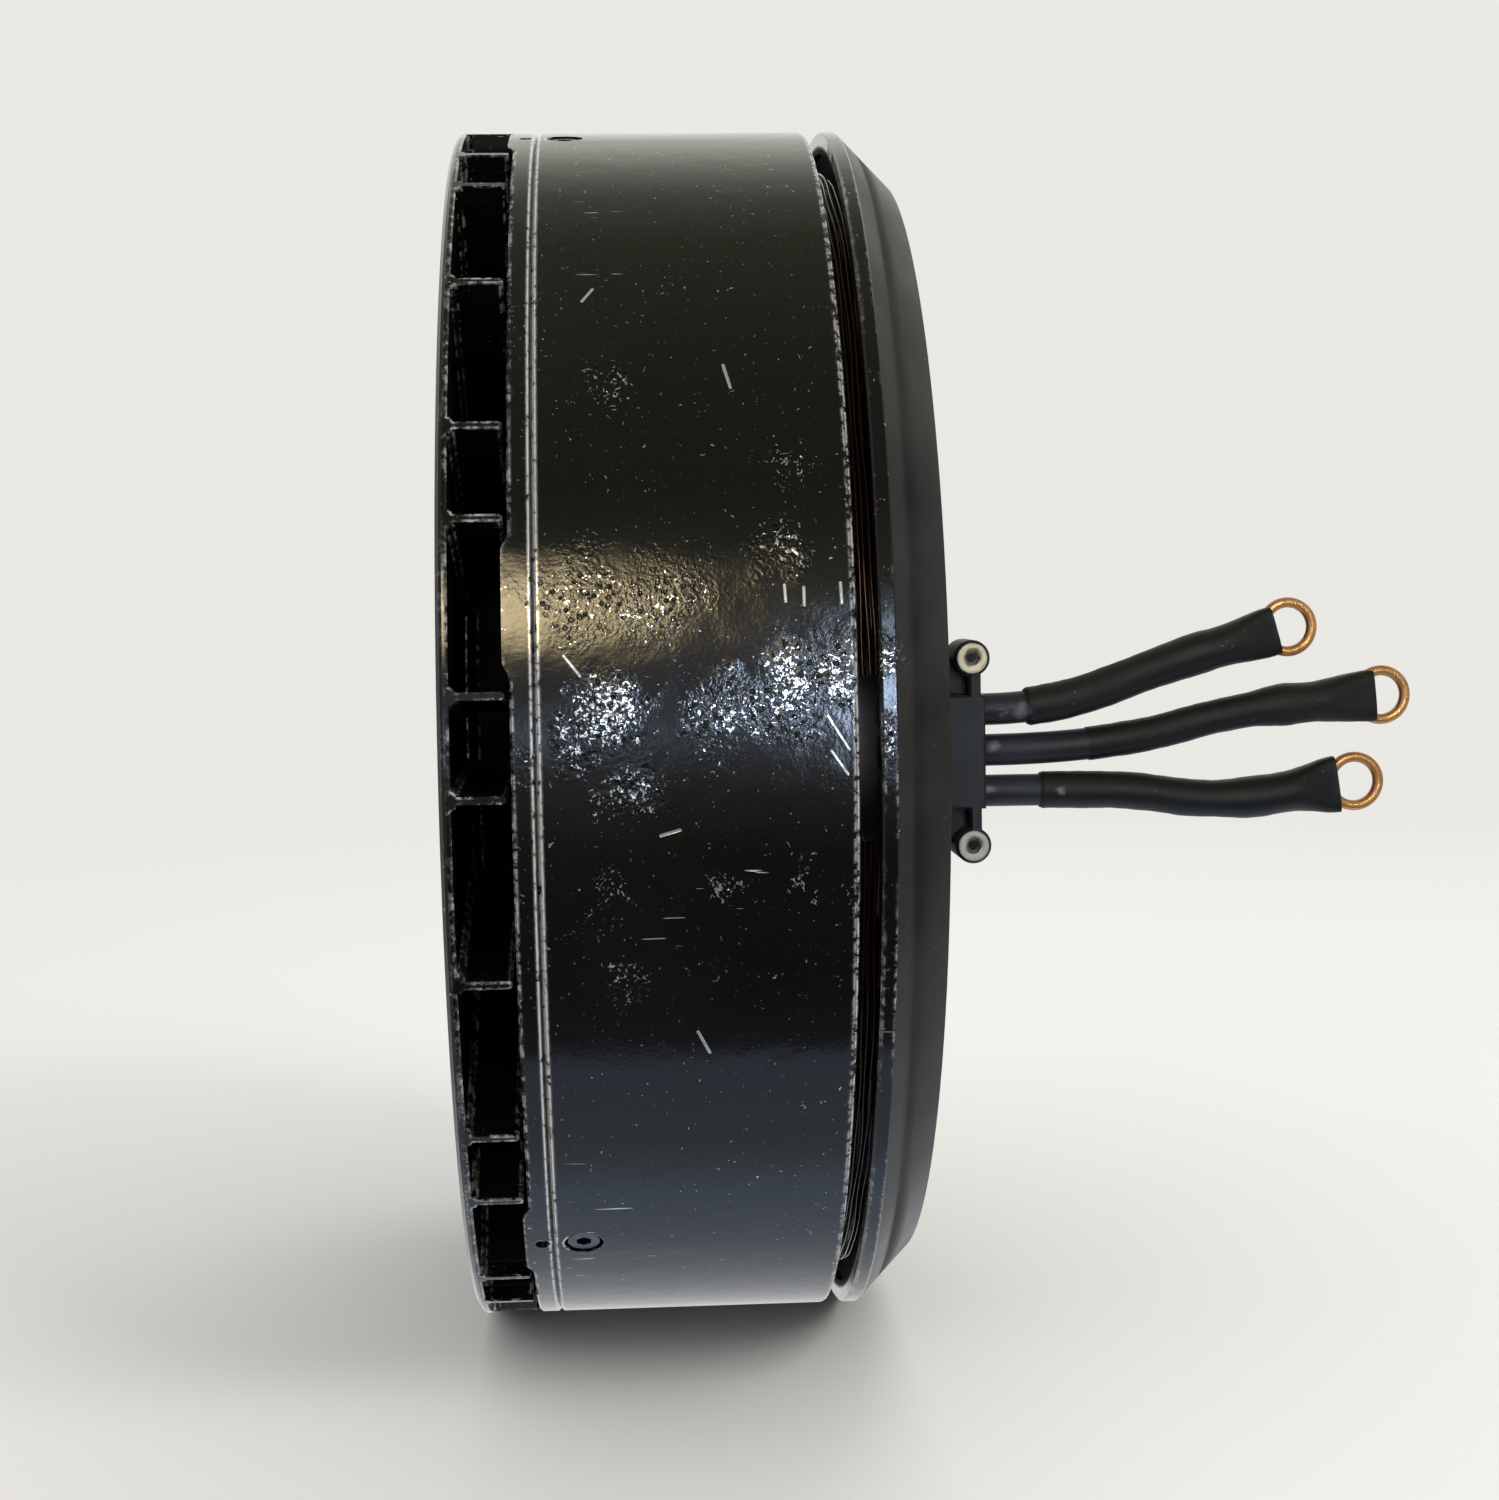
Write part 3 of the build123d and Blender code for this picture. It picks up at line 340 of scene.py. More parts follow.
def moulded(name, colour, light, roughness, grain=1800.0, depth=0.00006, spots=0.0):
    """Moulded plastic or rubber with a fine skin, faint streaks and pale rubbed edges.
    With spots, dust and a few painted highlights, pale blue-grey, where the leads leave the outlet."""
    s = Shader(name)
    skin = s.noise(grain, 3.0, 0.6)
    cloud = s.span(s.noise(75.0, 4.0, 0.6), 0.36, 0.7)
    rubbed = s.math("MULTIPLY", s.edges(0.0003), s.span(s.noise(500.0, 2.0), 0.42, 0.6))
    shade = s.mix(cloud, colour, light)
    shade = s.mix(s.math("MULTIPLY", rubbed, 0.35), shade, tuple(min(1.0, c * 3.0 + 0.04) for c in light))
    if spots:
        dust = s.math("MULTIPLY", s.span(s.cells(900.0), 0.11, 0.05), s.span(s.noise(260.0), 0.5, 0.62))
        shade = s.mix(s.math("MULTIPLY", dust, spots), shade, (0.42, 0.42, 0.4))
        # Painted highlights, pale blue-grey.
        for x, y, z, radius in HIGHLIGHT_SPOTS:
            border = s.span(s.noise(900.0, 3.0), 0.3, 0.7, -0.0004, 0.0004)
            apart = s.math("ADD", s.from_point((x * MM, y * MM, z * MM)), border)
            shade = s.mix(s.within(apart, radius, radius * 0.2, 0.35), shade, (0.3, 0.32, 0.38))
    rough = s.math("ADD", s.math("MULTIPLY", cloud, 0.16), roughness - 0.06, clamp=True)
    return s.finish(Base_Color=shade, Roughness=rough, Normal=s.bump(skin, 0.6, depth))


def laminations(name):
    """Thin steel sheets stacked along X, with a dark line between them and a little rust."""
    s = Shader(name)
    sheet = s.math("FRACT", s.math("MULTIPLY", s.axes()["X"], 1 / 0.00035))
    line = s.span(s.math("ABSOLUTE", s.math("SUBTRACT", sheet, 0.5)), 0.36, 0.48)
    rust = s.span(s.noise(160.0, 5.0, 0.65), 0.52, 0.72)
    shade = s.mix(line, (0.21, 0.22, 0.24), (0.045, 0.045, 0.05))
    shade = s.mix(s.math("MULTIPLY", rust, 0.5), shade, (0.17, 0.085, 0.045))
    return s.finish(
        Base_Color=shade, Metallic=0.85, Roughness=s.span(rust, 0.0, 1.0, 0.38, 0.7),
        Normal=s.bump(line, 0.5, 0.00003),
    )


def enamel(name, colour, dark):
    """Copper wire under reddish-brown enamel, with darker varnish in places."""
    s = Shader(name)
    varnish = s.span(s.noise(240.0, 4.0, 0.6), 0.36, 0.68)
    shade = s.mix(varnish, colour, dark)
    fine = s.noise(2600.0, 2.0)
    return s.finish(
        Base_Color=shade, Metallic=0.55, Roughness=s.span(varnish, 0.0, 1.0, 0.2, 0.36),
        Coat_Weight=0.7, Coat_Roughness=0.12, Normal=s.bump(fine, 0.3, 0.00002),
    )


def lug_copper(name):
    """Uncoated stamped copper: golden where it faces along Y and browner down its sides, a painted shade by which way
    the surface faces; browner too where it has tarnished.
    """
    s = Shader(name)
    tarnish = s.span(s.noise(420.0, 4.0, 0.6), 0.4, 0.7)
    fine = s.noise(3200.0, 3.0)
    # The way the surface faces sets the colour: painted shade, golden on the faces and brown on the sides.
    normal = s.add("ShaderNodeSeparateXYZ", {0: s.add("ShaderNodeNewGeometry").outputs["Normal"]}).outputs["Y"]
    face = s.span(s.math("ABSOLUTE", normal), 0.25, 0.92)
    shade = s.mix(face, (0.36, 0.15, 0.05), (0.92, 0.5, 0.2))
    shade = s.mix(s.math("MULTIPLY", tarnish, 0.6), shade, (0.42, 0.17, 0.06))
    return s.finish(
        Base_Color=shade, Metallic=0.85, Roughness=s.span(tarnish, 0.0, 1.0, 0.26, 0.42),
        Normal=s.bump(fine, 0.35, 0.00003),
    )


CLAMP_SCREW_X = 3.5
CLAMP_SCREW_Z = 12.2


def socket_screw(name):
    """Zinc-plated socket screw in the clamp: bright chamfered ring, a painted shadow round the socket and painted
    shade inside it. The upper screw is golden and the lower grey-green, painted reflections, and the head is darker at
    its outer rim.
    """
    s = Shader(name)
    axes = s.axes()
    x = s.math("SUBTRACT", axes["X"], CLAMP_SCREW_X * MM)
    z = s.math("SUBTRACT", s.math("ABSOLUTE", axes["Z"]), CLAMP_SCREW_Z * MM)
    from_axis = s.math("SQRT", s.math("ADD", s.math("MULTIPLY", x, x), s.math("MULTIPLY", z, z)))
    from_axis = s.math("ADD", from_axis, s.span(s.noise(900.0, 3.0), 0.3, 0.7, -0.00018, 0.00018))
    # The upper screw golden and the lower grey-green: painted reflections.
    shade = s.mix(s.span(axes["Z"], -0.004, 0.004), (0.45, 0.46, 0.42), (0.62, 0.54, 0.34))
    # A painted shadow in a ring round the socket.
    shade = s.mix(s.span(from_axis, 0.00125, 0.00095), shade, (0.16, 0.14, 0.1))
    # Painted shade inside the socket.
    shade = s.mix(s.span(from_axis, 0.0007, 0.00055), shade, (0.012, 0.011, 0.01))
    shade = s.mix(s.span(from_axis, 0.00165, 0.0019), shade, (0.4, 0.36, 0.27))
    fine = s.noise(1500.0, 3.0)
    chamfer = s.span(from_axis, 0.0009, 0.0013)
    height = s.math("ADD", s.math("MULTIPLY", fine, 0.12), chamfer)
    return s.finish(
        Base_Color=shade, Metallic=0.7, Roughness=s.span(fine, 0.3, 0.7, 0.3, 0.42),
        Normal=s.bump(height, 0.8, 0.0001),
    )


PAINT = gloss_paint("black_gloss_paint", (0.0028, 0.0028, 0.0026))
BASE_PAINT = gloss_paint("base_paint", (0.0028, 0.0028, 0.0026), satin_from=-0.0076)
ALUMINIUM = metal("turned_aluminium", (0.66, 0.66, 0.67), (0.48, 0.48, 0.5), 0.3, 500.0, (1.0, 0.3, 0.3))
SCREW = metal("black_oxide_steel", (0.16, 0.16, 0.17), (0.09, 0.09, 0.095), 0.32)
CLAMP_SCREW = socket_screw("zinc_steel")
NICKEL = metal("nickel_plate", (0.62, 0.6, 0.56), (0.44, 0.43, 0.41), 0.26)
GROUND = metal("ground_steel", (0.64, 0.64, 0.65), (0.5, 0.5, 0.52), 0.22, 1400.0, (0.2, 1.0, 1.0))
BEARING = metal("bearing_steel", (0.7, 0.7, 0.72), (0.56, 0.56, 0.58), 0.18)
LAMINATION = laminations("lamination_steel")
INSULATOR = moulded("insulator", (0.5, 0.44, 0.26), (0.6, 0.55, 0.36), 0.45)
COILS = enamel("coil_enamel", (0.33, 0.075, 0.03), (0.13, 0.026, 0.013))
# A much darker copy of the coil enamel: painted shade on the strands deep in the gap behind the bell.
SHADED_STRANDS = enamel("jumper_enamel_shaded", (0.045, 0.01, 0.007), (0.003, 0.001, 0.001))
OUTLET = moulded("outlet_plastic", (0.004, 0.0042, 0.005), (0.009, 0.01, 0.013), 0.42, 1500.0, 0.00005, 0.3)
RUBBER = moulded("lead_rubber", (0.007, 0.008, 0.011), (0.017, 0.02, 0.028), 0.45, 1600.0, 0.00004, 0.25)
SLEEVE = moulded("heat_shrink", (0.0028, 0.0028, 0.0026), (0.0065, 0.007, 0.0072), 0.5, 1300.0, 0.00007, 0.4)
COPPER = lug_copper("lug_copper")

FINISHES = {
    PAINT: ["fan_cover", "rotor_cap", "flux_ring"],
    BASE_PAINT: ["stator_base"],
    ALUMINIUM: ["bearing_housing"],
    SCREW: ["fan_screws", "bell_screws", "hub_screws", "housing_screws", "block_screws"],
    CLAMP_SCREW: ["clamp_screws"],
    NICKEL: ["magnets"],
    GROUND: ["shaft", "shaft_circlip", "shaft_shim"],
    BEARING: [n for n in NODES if "bearing" in n and n != "bearing_housing"],
    LAMINATION: ["stator_core"],
    INSULATOR: ["front_insulator", "rear_insulator"],
    COILS: ["coils_phase_a", "coils_phase_b", "coils_phase_c"],
    OUTLET: ["cable_block", "clamp_plate"],
    RUBBER: ["lead_tails"],
}
for finish, names in FINISHES.items():
    for name in names:
        for place in NODES[name].material_slots:
            place.material = finish


def skin(start, rows, count, closed=False):
    """Faces between neighbouring rows of count points, from point start on. closed joins the last row to the first."""
    return [
        (start + r * count + k, start + n * count + k, start + n * count + m, start + r * count + m)
        for r, n in zip(range(rows if closed else rows - 1), [*range(1, rows), 0])
        for k, m in zip(range(count), [*range(1, count), 0])
    ]


def add_mesh(name, points, faces, material, smooth=True):
    data = bpy.data.meshes.new(name)
    data.from_pydata(points, [], faces)
    data.update()
    data.materials.append(material)
    for face in data.polygons:
        face.use_smooth = smooth
    piece = bpy.data.objects.new(name, data)
    bpy.context.collection.objects.link(piece)
    return piece


# ---------------------------------------------------------------- leads

THICK = Vector((0, 1, 0))       # across the plane in which the leads lie
LEAD_Y = -76.5
LEAD_D = 4.2
ROUTES = {
    1: [(5.2, 5.36), (11.8, 5.36), (21.0, 7.6), (29.7, 11.0), (36.1, 12.75)],
    2: [(5.2, 0.0), (14.6, 0.0), (27.7, 1.55), (39.4, 4.75), (48.3, 5.45)],
    3: [(5.2, -5.36), (14.0, -5.36), (25.2, -5.6), (36.9, -7.6), (44.8, -6.5)],
}
SLEEVE_STARTS = {1: 10.7, 2: 18.8, 3: 12.6}
SLEEVE_ENDS = {1: 8.5, 2: 9.2, 3: 7.8}
SLEEVE_STEP = {1: 0.45, 2: 0.14, 3: 0.35}
CUT_HALF_WIDTH = {1: 3.25, 2: 3.45, 3: 3.75}
WALL = 0.45


def lead_curve(name, route):
    data = bpy.data.curves.new(name, "CURVE")
    data.dimensions = "3D"
    data.resolution_u = 24
    line = data.splines.new("NURBS")
    line.points.add(len(route) - 1)
    for point, (x, z) in zip(line.points, route):
        point.co = (x * MM, LEAD_Y * MM, z * MM, 1.0)
    line.order_u = 3
    line.use_endpoint_u = True
    piece = bpy.data.objects.new(name, data)
    bpy.context.collection.objects.link(piece)
    return piece


def line_points(curve):
    """The points of a curve's own line, before it is given a thickness."""
    bpy.context.view_layer.update()
    mesh = bpy.data.meshes.new_from_object(curve)
    points = [v.co.copy() for v in mesh.vertices]
    bpy.data.meshes.remove(mesh)
    return points


def station(points, reach):
    """The point, and the direction, at reach metres past the line's end, or before it when reach is below zero."""
    if reach >= 0:
        ahead = (points[-1] - points[-2]).normalized()
        return points[-1] + ahead * reach, ahead
    left = -reach
    for a, b in zip(points[-2::-1], points[:0:-1]):
        step = (b - a).length
        if left <= step:
            return b.lerp(a, left / step), (b - a).normalized()
        left -= step
    return points[0], (points[1] - points[0]).normalized()


def ring_of(middle, ahead, half_w, half_t, power, count=48):
    """Points round a rounded section: half_w across the lead in the lug's plane and half_t along Y."""
    wide = ahead.cross(THICK).normalized()
    ring = []
    for k in range(count):
        angle = 2 * math.pi * k / count
        c, s = math.cos(angle), math.sin(angle)
        u = math.copysign(abs(c) ** (2 / power), c) * half_w
        v = math.copysign(abs(s) ** (2 / power), s) * half_t
        ring.append(middle + wide * u + THICK * v)
    return ring


def lofted(name, rings, material):
    """A tube through the rings, left open at both ends."""
    return add_mesh(name, [p for ring in rings for p in ring], skin(0, len(rings), len(rings[0])), material)


LUG_REACH = 10.2
LUG_INNER_R = 2.55
LUG_OUTER_R = 3.9
LUG_HALF_T = 0.8


def make_lug(number, points):
    """Ring lug: a rounded ring, a flat neck and the barrel crimped on the lead."""
    lead_end, ahead = station(points, 0.0)
    side = ahead.cross(THICK).normalized()
    middle = lead_end + ahead * (LUG_REACH * MM)
    half_w = (LUG_OUTER_R - LUG_INNER_R) / 2
    spots = []
    around, section, count = 96, 24, 48
    for k in range(around):
        turn = 2 * math.pi * k / around
        out = ahead * math.cos(turn) + side * math.sin(turn)
        for j in range(section):
            angle = 2 * math.pi * j / section
            c, s = math.cos(angle), math.sin(angle)
            u = LUG_OUTER_R - half_w + math.copysign(abs(c) ** 0.85, c) * half_w
            v = math.copysign(abs(s) ** 0.85, s) * LUG_HALF_T
            spots.append(middle + (out * u + THICK * v) * MM)
    # Reach from the end of the lead, half width, half thickness and squareness.
    sections = [
        (-4.0, 2.3, 2.3, 2.0), (-0.2, 2.3, 2.25, 2.0), (0.6, 2.25, 1.5, 2.4), (2.0, 2.3, 0.75, 3.0),
        (4.0, 2.3, 0.7, 3.6), (LUG_REACH - 3.6, 2.2, 0.66, 4.0), (LUG_REACH - 3.0, 2.0, 0.62, 4.0),
    ]
    start = len(spots)
    for reach, wide, deep, power in sections:
        place, heading = station(points, reach * MM)
        spots += ring_of(place, heading, wide * MM, deep * MM, power, count)
    faces = skin(0, around, section, closed=True) + skin(start, len(sections), count)
    faces.append(tuple(range(len(spots) - 1, len(spots) - count - 1, -1)))
    piece = add_mesh(f"lug_{number}", spots, faces, COPPER)
    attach(piece, "stator")
    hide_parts(f"ring_lug_{number}")
    return piece


def smooth_step(value, low, high):
    t = min(1.0, max(0.0, (value - low) / (high - low)))
    return t * t * (3 - 2 * t)


def sleeve_section(reach, begin, cut, lump, step):
    """Half width, half thickness and squareness of a sleeve at reach millimetres from the end of its lead.
    It stands step millimetres proud of the lead where it begins."""
    over_barrel = smooth_step(reach, -9.0, -2.5)
    flat = smooth_step(reach, 1.5, cut)
    snug = LEAD_D / 2 + step
    half_w = snug + (2.8 - snug) * over_barrel + (lump - 2.8) * flat
    half_t = snug + (2.8 - snug) * over_barrel - 1.35 * flat
    half_w -= 0.12 * math.sin(math.pi * smooth_step(reach, -3.0, 3.5))
    lip = smooth_step(reach - begin, 0.0, 0.45)
    half_w -= 0.5 * step * (1 - lip)
    half_t -= 0.5 * step * (1 - lip)
    return half_w, half_t, 2.0 + 1.6 * flat


def make_sleeve(number, points):
    """Heat-shrink sleeve from its start along the lead to its cut end over the lug."""
    rng = random.Random(40 + number)
    first = next(i for i, p in enumerate(points) if p.x >= SLEEVE_STARTS[number] * MM)
    begin = -sum((b - a).length for a, b in zip(points[first:], points[first + 1:])) / MM
    cut = SLEEVE_ENDS[number]
    reaches = [begin + t for t in (0.0, 0.06, 0.16, 0.3, 0.5)]
    step = 0.55
    while reaches[-1] + step < cut - 0.2:
        reaches.append(reaches[-1] + step)
    reaches += [cut - 0.12, cut]
    phase = rng.uniform(0, 6.28)
    rings = []
    for reach in reaches:
        half_w, half_t, power = sleeve_section(reach, begin, cut, CUT_HALF_WIDTH[number], SLEEVE_STEP[number])
        middle, ahead = station(points, reach * MM)
        ripple = 0.025 * math.sin(reach * 0.9 + phase) + 0.015 * math.sin(reach * 2.3 + 2 * phase)
        sway = 0.03 * math.sin(reach * 0.55 + phase) * smooth_step(reach, begin, begin + 4)
        middle = middle + ahead.cross(THICK).normalized() * (sway * MM)
        ring = ring_of(middle, ahead, (half_w + ripple) * MM, (half_t + ripple) * MM, power)
        rings.append([p + Vector((rng.gauss(0, 0.008), rng.gauss(0, 0.008), rng.gauss(0, 0.008))) * MM for p in ring])
    inner = []
    for reach in (cut - 0.05, cut - 1.2, cut - 2.6):
        half_w, half_t, power = sleeve_section(reach, begin, cut, CUT_HALF_WIDTH[number], SLEEVE_STEP[number])
        middle, ahead = station(points, reach * MM)
        inner.append(ring_of(middle, ahead, (half_w - WALL) * MM, max(0.82, half_t - WALL) * MM, power))
    rings += inner
    piece = lofted(f"sleeve_{number}", rings, SLEEVE)
    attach(piece, "stator")
    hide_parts(f"lead_sleeve_{number}")
    return piece


for number, route in ROUTES.items():
    lead = lead_curve(f"lead_{number}", route)
    points = line_points(lead)
    lead.data.bevel_depth = LEAD_D / 2 * MM
    lead.data.bevel_resolution = 8
    lead.data.use_fill_caps = True
    lead.data.materials.append(RUBBER)
    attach(lead, "stator")
    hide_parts(f"phase_lead_{number}")
    sleeve = make_sleeve(number, points)
    lug = make_lug(number, points)


# ---------------------------------------------------------------- windings

def wire_piece(name, lines, radius, material):
    """Round wires through the given lines of points, as one piece."""
    data = bpy.data.curves.new(name, "CURVE")
    data.dimensions = "3D"
    data.resolution_u = 3
    data.bevel_depth = radius
    data.bevel_resolution = 3
    data.use_fill_caps = True
    for line in lines:
        spline = data.splines.new("POLY")
        spline.points.add(len(line) - 1)
        for point, place in zip(spline.points, line):
            point.co = (*place, 1.0)
        spline.use_smooth = True
    data.materials.append(material)
    piece = bpy.data.objects.new(name, data)
    bpy.context.collection.objects.link(piece)
    return piece


JUMPER_RADII = {"a": 84.6, "b": 81.8, "c": 79.0}
JUMPER_GAPS = {"a": 14.0, "b": 30.0, "c": 50.0}
JUMPER_X = (-11.8, -8.6)
JUMPER_W = 2.6
STRAND_D = 0.6
STRAND_ROWS = 4
STRAND_COLUMNS = 3


def jumper_strands(phase):
    """A bundle of enamelled strands that goes round behind the coils, open at the cable outlet."""
    rng = random.Random(ord(phase))
    inner = JUMPER_RADII[phase]
    half_gap = JUMPER_GAPS[phase] / 2
    lines = []
    for row in range(STRAND_ROWS):
        for column in range(STRAND_COLUMNS):
            wander = [rng.uniform(0, 6.28) for _ in range(4)]
            line = []
            for k in range(361):
                turn = 180.0 + half_gap + (360.0 - 2 * half_gap) * k / 360
                wave = math.radians(turn)
                x = JUMPER_X[0] + 0.4 + row * (JUMPER_X[1] - JUMPER_X[0] - 0.8) / (STRAND_ROWS - 1)
                r = inner + 0.4 + column * (JUMPER_W - 0.8) / (STRAND_COLUMNS - 1)
                x += 0.16 * math.sin(9 * wave + wander[0]) + 0.1 * math.sin(23 * wave + wander[1])
                r += 0.14 * math.sin(11 * wave + wander[2]) + 0.08 * math.sin(29 * wave + wander[3])
                r -= (0.3 * row + 0.5 * max(0.0, math.sin(5 * wave + wander[1]))) * column / 2
                x = min(JUMPER_X[1] - 0.4, max(JUMPER_X[0] + 0.4, x))
                r = min(inner + JUMPER_W - 0.4, max(inner + 0.4, r))
                line.append((x * MM, r * math.cos(wave) * MM, r * math.sin(wave) * MM))
            lines.append(line)
    piece = wire_piece(f"strands_{phase}", lines, STRAND_D / 2 * MM, SHADED_STRANDS)
    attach(piece, "stator")
    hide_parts(f"phase_jumper_{phase}")


for phase in "abc":
    jumper_strands(phase)


COIL_TEETH = 36
COIL_RADII = (66.8, 82.0)
COIL_MIDDLE_X = -29.5
COIL_HALF_SIZES = (5.5, 17.55)
COIL_HALF_HOLE = (3.3, 14.95)
COIL_TURNS = 16
CORE_DEPTH = 0.7        # how far the inner layer lies under the outer turns


def rounded_loop(half_wide, half_long, corner, steps):
    """Points round a rounded rectangle, each as tangential and axial offsets with the direction out of the loop."""
    points = []
    for quarter, (sign_w, sign_l) in enumerate(((1, 1), (-1, 1), (-1, -1), (1, -1))):
        for step in range(steps + 1):
            angle = math.pi / 2 * (quarter + step / steps)
            c, s = math.cos(angle), math.sin(angle)
            tangent = sign_w * (half_wide - corner) + corner * c
            points.append((tangent, sign_l * (half_long - corner) + corner * s, c, s))
    return points


def wound_coils(phase, first_tooth):
    """The coils of one phase: side by side turns of round wire over an inner layer."""
    rng = random.Random(70 + first_tooth)
    pitch = (COIL_RADII[1] - COIL_RADII[0]) / COIL_TURNS
    wire = pitch / 2
    sides = 8
    spots, faces = [], []

    def add_tube(loop, section_of):
        """A closed tube whose sections are section_of each item of the loop."""
        start = len(spots)
        for point in loop:
            spots.extend(section_of(point))
        faces.extend(skin(start, len(loop), (len(spots) - start) // len(loop), closed=True))

    for tooth in range(first_tooth, COIL_TEETH, 3):
        turn = 2 * math.pi * tooth / COIL_TEETH
        out = Vector((0, math.cos(turn), math.sin(turn)))
        beside = Vector((0, -math.sin(turn), math.cos(turn)))
        axis = Vector((1, 0, 0))

        def place(tangent, axial, radius):
            return (out * radius + beside * tangent + axis * (COIL_MIDDLE_X + axial)) * MM

        for number in range(COIL_TURNS):
            radius = COIL_RADII[0] + pitch * (number + 0.5)
            drop = rng.uniform(0.0, 0.1)
            loop = rounded_loop(COIL_HALF_SIZES[0] - wire - drop, COIL_HALF_SIZES[1] - wire - drop, 1.9, 4)

            def ring(point):
                tangent, axial, c, s = point
                ring_points = []
                for j in range(sides):
                    angle = 2 * math.pi * j / sides
                    wide, high = wire * math.cos(angle), wire * math.sin(angle)
                    ring_points.append(place(tangent + c * wide, axial + s * wide, radius + high))
                return ring_points

            add_tube(loop, ring)
        core = rounded_loop(*(half - CORE_DEPTH for half in COIL_HALF_SIZES), 1.7, 4)
        hole = rounded_loop(*COIL_HALF_HOLE, 0.5, 4)
        low, high = COIL_RADII[0] + 0.15, COIL_RADII[1] - 0.15

        def block(pair):
            far, near = pair
            return [place(*far[:2], high), place(*near[:2], high), place(*near[:2], low), place(*far[:2], low)]

        add_tube(list(zip(core, hole)), block)
    piece = add_mesh(f"wound_coils_{phase}", spots, faces, COILS)
    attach(piece, "stator")
    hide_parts(f"coils_phase_{phase}")


for first_tooth, phase in enumerate("abc"):
    wound_coils(phase, first_tooth)


# ---------------------------------------------------------------- stage

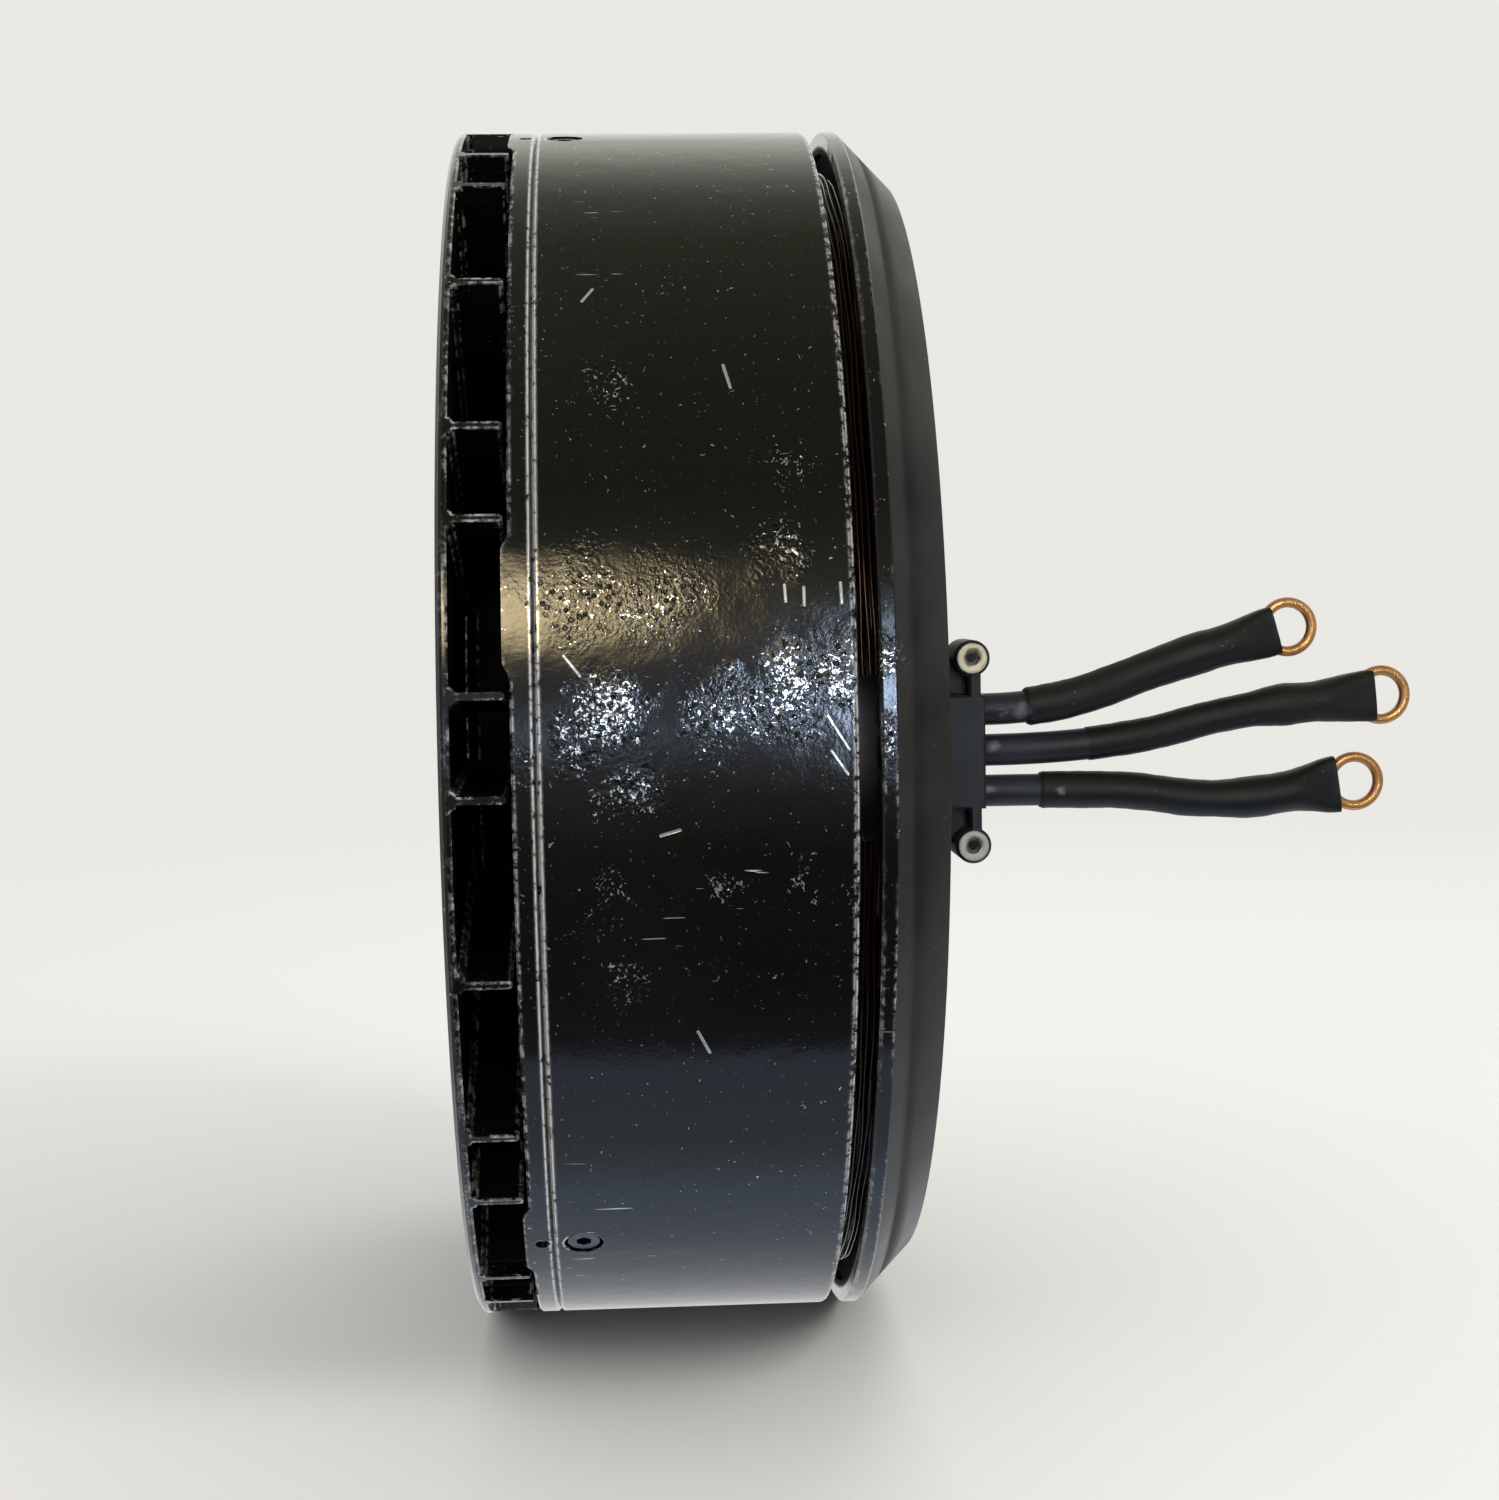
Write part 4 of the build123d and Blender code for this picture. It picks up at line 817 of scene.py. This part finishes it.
def world_light():
    """A plain pale surround to look at, a soft light, and bands and lamps for glossy surfaces to reflect."""
    world = bpy.data.worlds.new("studio")
    bpy.context.scene.world = world
    world.use_nodes = True
    tree = world.node_tree
    tree.nodes.clear()

    def add(kind, inputs=None, **settings):
        node = tree.nodes.new(kind)
        for key, value in settings.items():
            setattr(node, key, value)
        for key, value in (inputs or {}).items():
            if isinstance(value, bpy.types.NodeSocket):
                tree.links.new(value, node.inputs[key])
            else:
                node.inputs[key].default_value = value
        return node

    heading = add("ShaderNodeTexCoord").outputs["Generated"]
    axes = add("ShaderNodeSeparateXYZ", {0: heading}).outputs
    front = add("ShaderNodeMath", {0: axes["Y"], 1: -1.0}, operation="MULTIPLY").outputs[0]
    around = add("ShaderNodeMath", {0: axes["Z"], 1: front}, operation="ARCTAN2").outputs[0]
    place = add("ShaderNodeMapRange", {0: around, 1: -math.pi, 2: math.pi}).outputs[0]
    bands = add("ShaderNodeValToRGB", {0: place})
    # Degrees up from -Y round the spin axis, and the colour reflected from there.
    stops = [
        (-180, (0.92, 0.92, 0.9)),
        (-140, (0.8, 0.82, 0.84)),
        (-110, (0.6, 0.68, 0.8)),
        (-93, (0.6, 0.74, 0.96)),
        (-80, (0.46, 0.52, 0.6)),
        (-61, (0.48, 0.56, 0.74)),
        (-58, (0.1, 0.11, 0.12)),
        (-45, (0.05, 0.055, 0.045)),
        (-20, (0.06, 0.065, 0.055)),
        (-9, (0.25, 0.24, 0.23)),
        (0, (0.42, 0.44, 0.46)),
        (8, (0.45, 0.47, 0.52)),
        (17, (0.36, 0.36, 0.32)),
        (35, (0.24, 0.24, 0.19)),
        (45, (0.15, 0.155, 0.11)),
        (65, (0.17, 0.17, 0.13)),
        (88, (0.24, 0.24, 0.17)),
        (103, (0.26, 0.24, 0.16)),
        (119, (0.42, 0.42, 0.35)),
        (140, (1.0, 0.98, 0.86)),
        (180, (0.92, 0.92, 0.9)),
    ]
    ramp = bands.color_ramp
    while len(ramp.elements) > 1:
        ramp.elements.remove(ramp.elements[-1])
    for index, (degrees, colour) in enumerate(stops):
        position = (degrees + 180) / 360
        element = ramp.elements[0] if index == 0 else ramp.elements.new(position)
        element.position = position
        element.color = (*colour, 1.0)

    def calculate(operation, a, b=0.0):
        return add("ShaderNodeMath", {0: a, 1: b}, operation=operation).outputs[0]

    def lobe(value, centre, half):
        """1 at the centre and 0 beyond half either side, with a smooth fall."""
        apart = calculate("ABSOLUTE", calculate("SUBTRACT", value, centre))
        return add("ShaderNodeMapRange", {0: apart, 1: half, 2: 0.0}, interpolation_type="SMOOTHERSTEP").outputs[0]

    def blend(kind, share, a, b):
        node = add("ShaderNodeMix", data_type="RGBA", blend_type=kind)
        colours = [x for x in node.inputs if x.type == "RGBA"]
        for socket, value in ((node.inputs[0], share), (colours[0], a), (colours[1], b)):
            if isinstance(value, bpy.types.NodeSocket):
                tree.links.new(value, socket)
            else:
                socket.default_value = value
        return [x for x in node.outputs if x.type == "RGBA"][0]

    ends = add("ShaderNodeMapRange", {0: calculate("ABSOLUTE", axes["X"]), 1: 0.45, 2: 0.9}).outputs[0]
    shade = blend("MIX", ends, bands.outputs[0], (0.3, 0.31, 0.31, 1.0))
    # Degrees up from -Y and half width, place along X and half width, and colour.
    lamps = [
        (24.0, 12.0, -0.045, 0.095, (16.5, 13.4, 7.6)),
        (8.0, 6.0, 0.105, 0.075, (2.2, 2.9, 3.9)),
        (1.0, 8.0, -0.02, 0.07, (0.9, 1.2, 1.6)),
        (9.0, 20.0, 0.122, 0.012, (36.0, 46.0, 62.0)),
    ]
    for turn, half_turn, centre_x, half_x, colour in lamps:
        rise = lobe(around, math.radians(turn), math.radians(half_turn))
        share = calculate("MULTIPLY", rise, lobe(axes["X"], centre_x, half_x))
        shade = blend("ADD", share, shade, (*colour, 1.0))
    rays = add("ShaderNodeLightPath").outputs
    soft = add("ShaderNodeBackground", {"Color": (0.93, 0.92, 0.9, 1.0), "Strength": 0.75})
    gloss = add("ShaderNodeBackground", {"Color": shade, "Strength": 1.0})
    seen = add("ShaderNodeBackground", {"Color": (0.82, 0.812, 0.776, 1.0), "Strength": 1.0})
    first = add("ShaderNodeMixShader", {0: rays["Is Glossy Ray"], 1: soft.outputs[0], 2: gloss.outputs[0]})
    second = add("ShaderNodeMixShader", {0: rays["Is Camera Ray"], 1: first.outputs[0], 2: seen.outputs[0]})
    add("ShaderNodeOutputWorld", {"Surface": second.outputs[0]})


world_light()


def add_light(name, place, size, power, colour=(1.0, 1.0, 1.0)):
    """A soft square light aimed at the motor. The gloss doesn't show it: that has the world's own lamps."""
    data = bpy.data.lights.new(name, "AREA")
    data.shape = "SQUARE"
    data.size = size
    data.energy = power
    data.color = colour
    lamp = bpy.data.objects.new(name, data)
    lamp.location = place
    lamp.rotation_euler = (-Vector(place)).to_track_quat("-Z", "Y").to_euler()
    lamp.visible_glossy = False
    bpy.context.collection.objects.link(lamp)


add_light("key", (0.75, -0.7, 0.75), 0.6, 7.0, (1.0, 0.97, 0.92))
add_light("fill", (-0.8, -0.8, 0.3), 0.9, 3.0, (0.92, 0.96, 1.0))
add_light("back", (0.2, 0.8, 0.8), 0.7, 4.0)


def floor_material():
    s = Shader("floor")
    axes = s.axes()
    across = s.math("POWER", axes["X"], 2.0)
    along = s.math("POWER", axes["Y"], 2.0)
    distance = s.math("SQRT", s.math("ADD", across, along))
    shade = s.mix(s.noise(9.0, 5.0), (0.84, 0.835, 0.815), (0.81, 0.805, 0.785))
    surface = s.add("ShaderNodeBsdfPrincipled", {"Base Color": shade, "Roughness": 0.75})
    clear = s.add("ShaderNodeBsdfTransparent")
    fade = s.span(distance, 0.16, 0.75)
    both = s.add("ShaderNodeMixShader", {0: fade, 1: surface.outputs[0], 2: clear.outputs[0]})
    s.add("ShaderNodeOutputMaterial", {"Surface": both.outputs[0]})
    return s.material


FLOOR_Z = cad_box[0][2]
corners = [(-1.5, -1.5, 0), (1.5, -1.5, 0), (1.5, 1.5, 0), (-1.5, 1.5, 0)]
floor = add_mesh("floor", corners, [(0, 1, 2, 3)], floor_material(), smooth=False)
floor.location.z = FLOOR_Z
floor.visible_glossy = False

bpy.context.scene.view_settings.view_transform = "Standard"
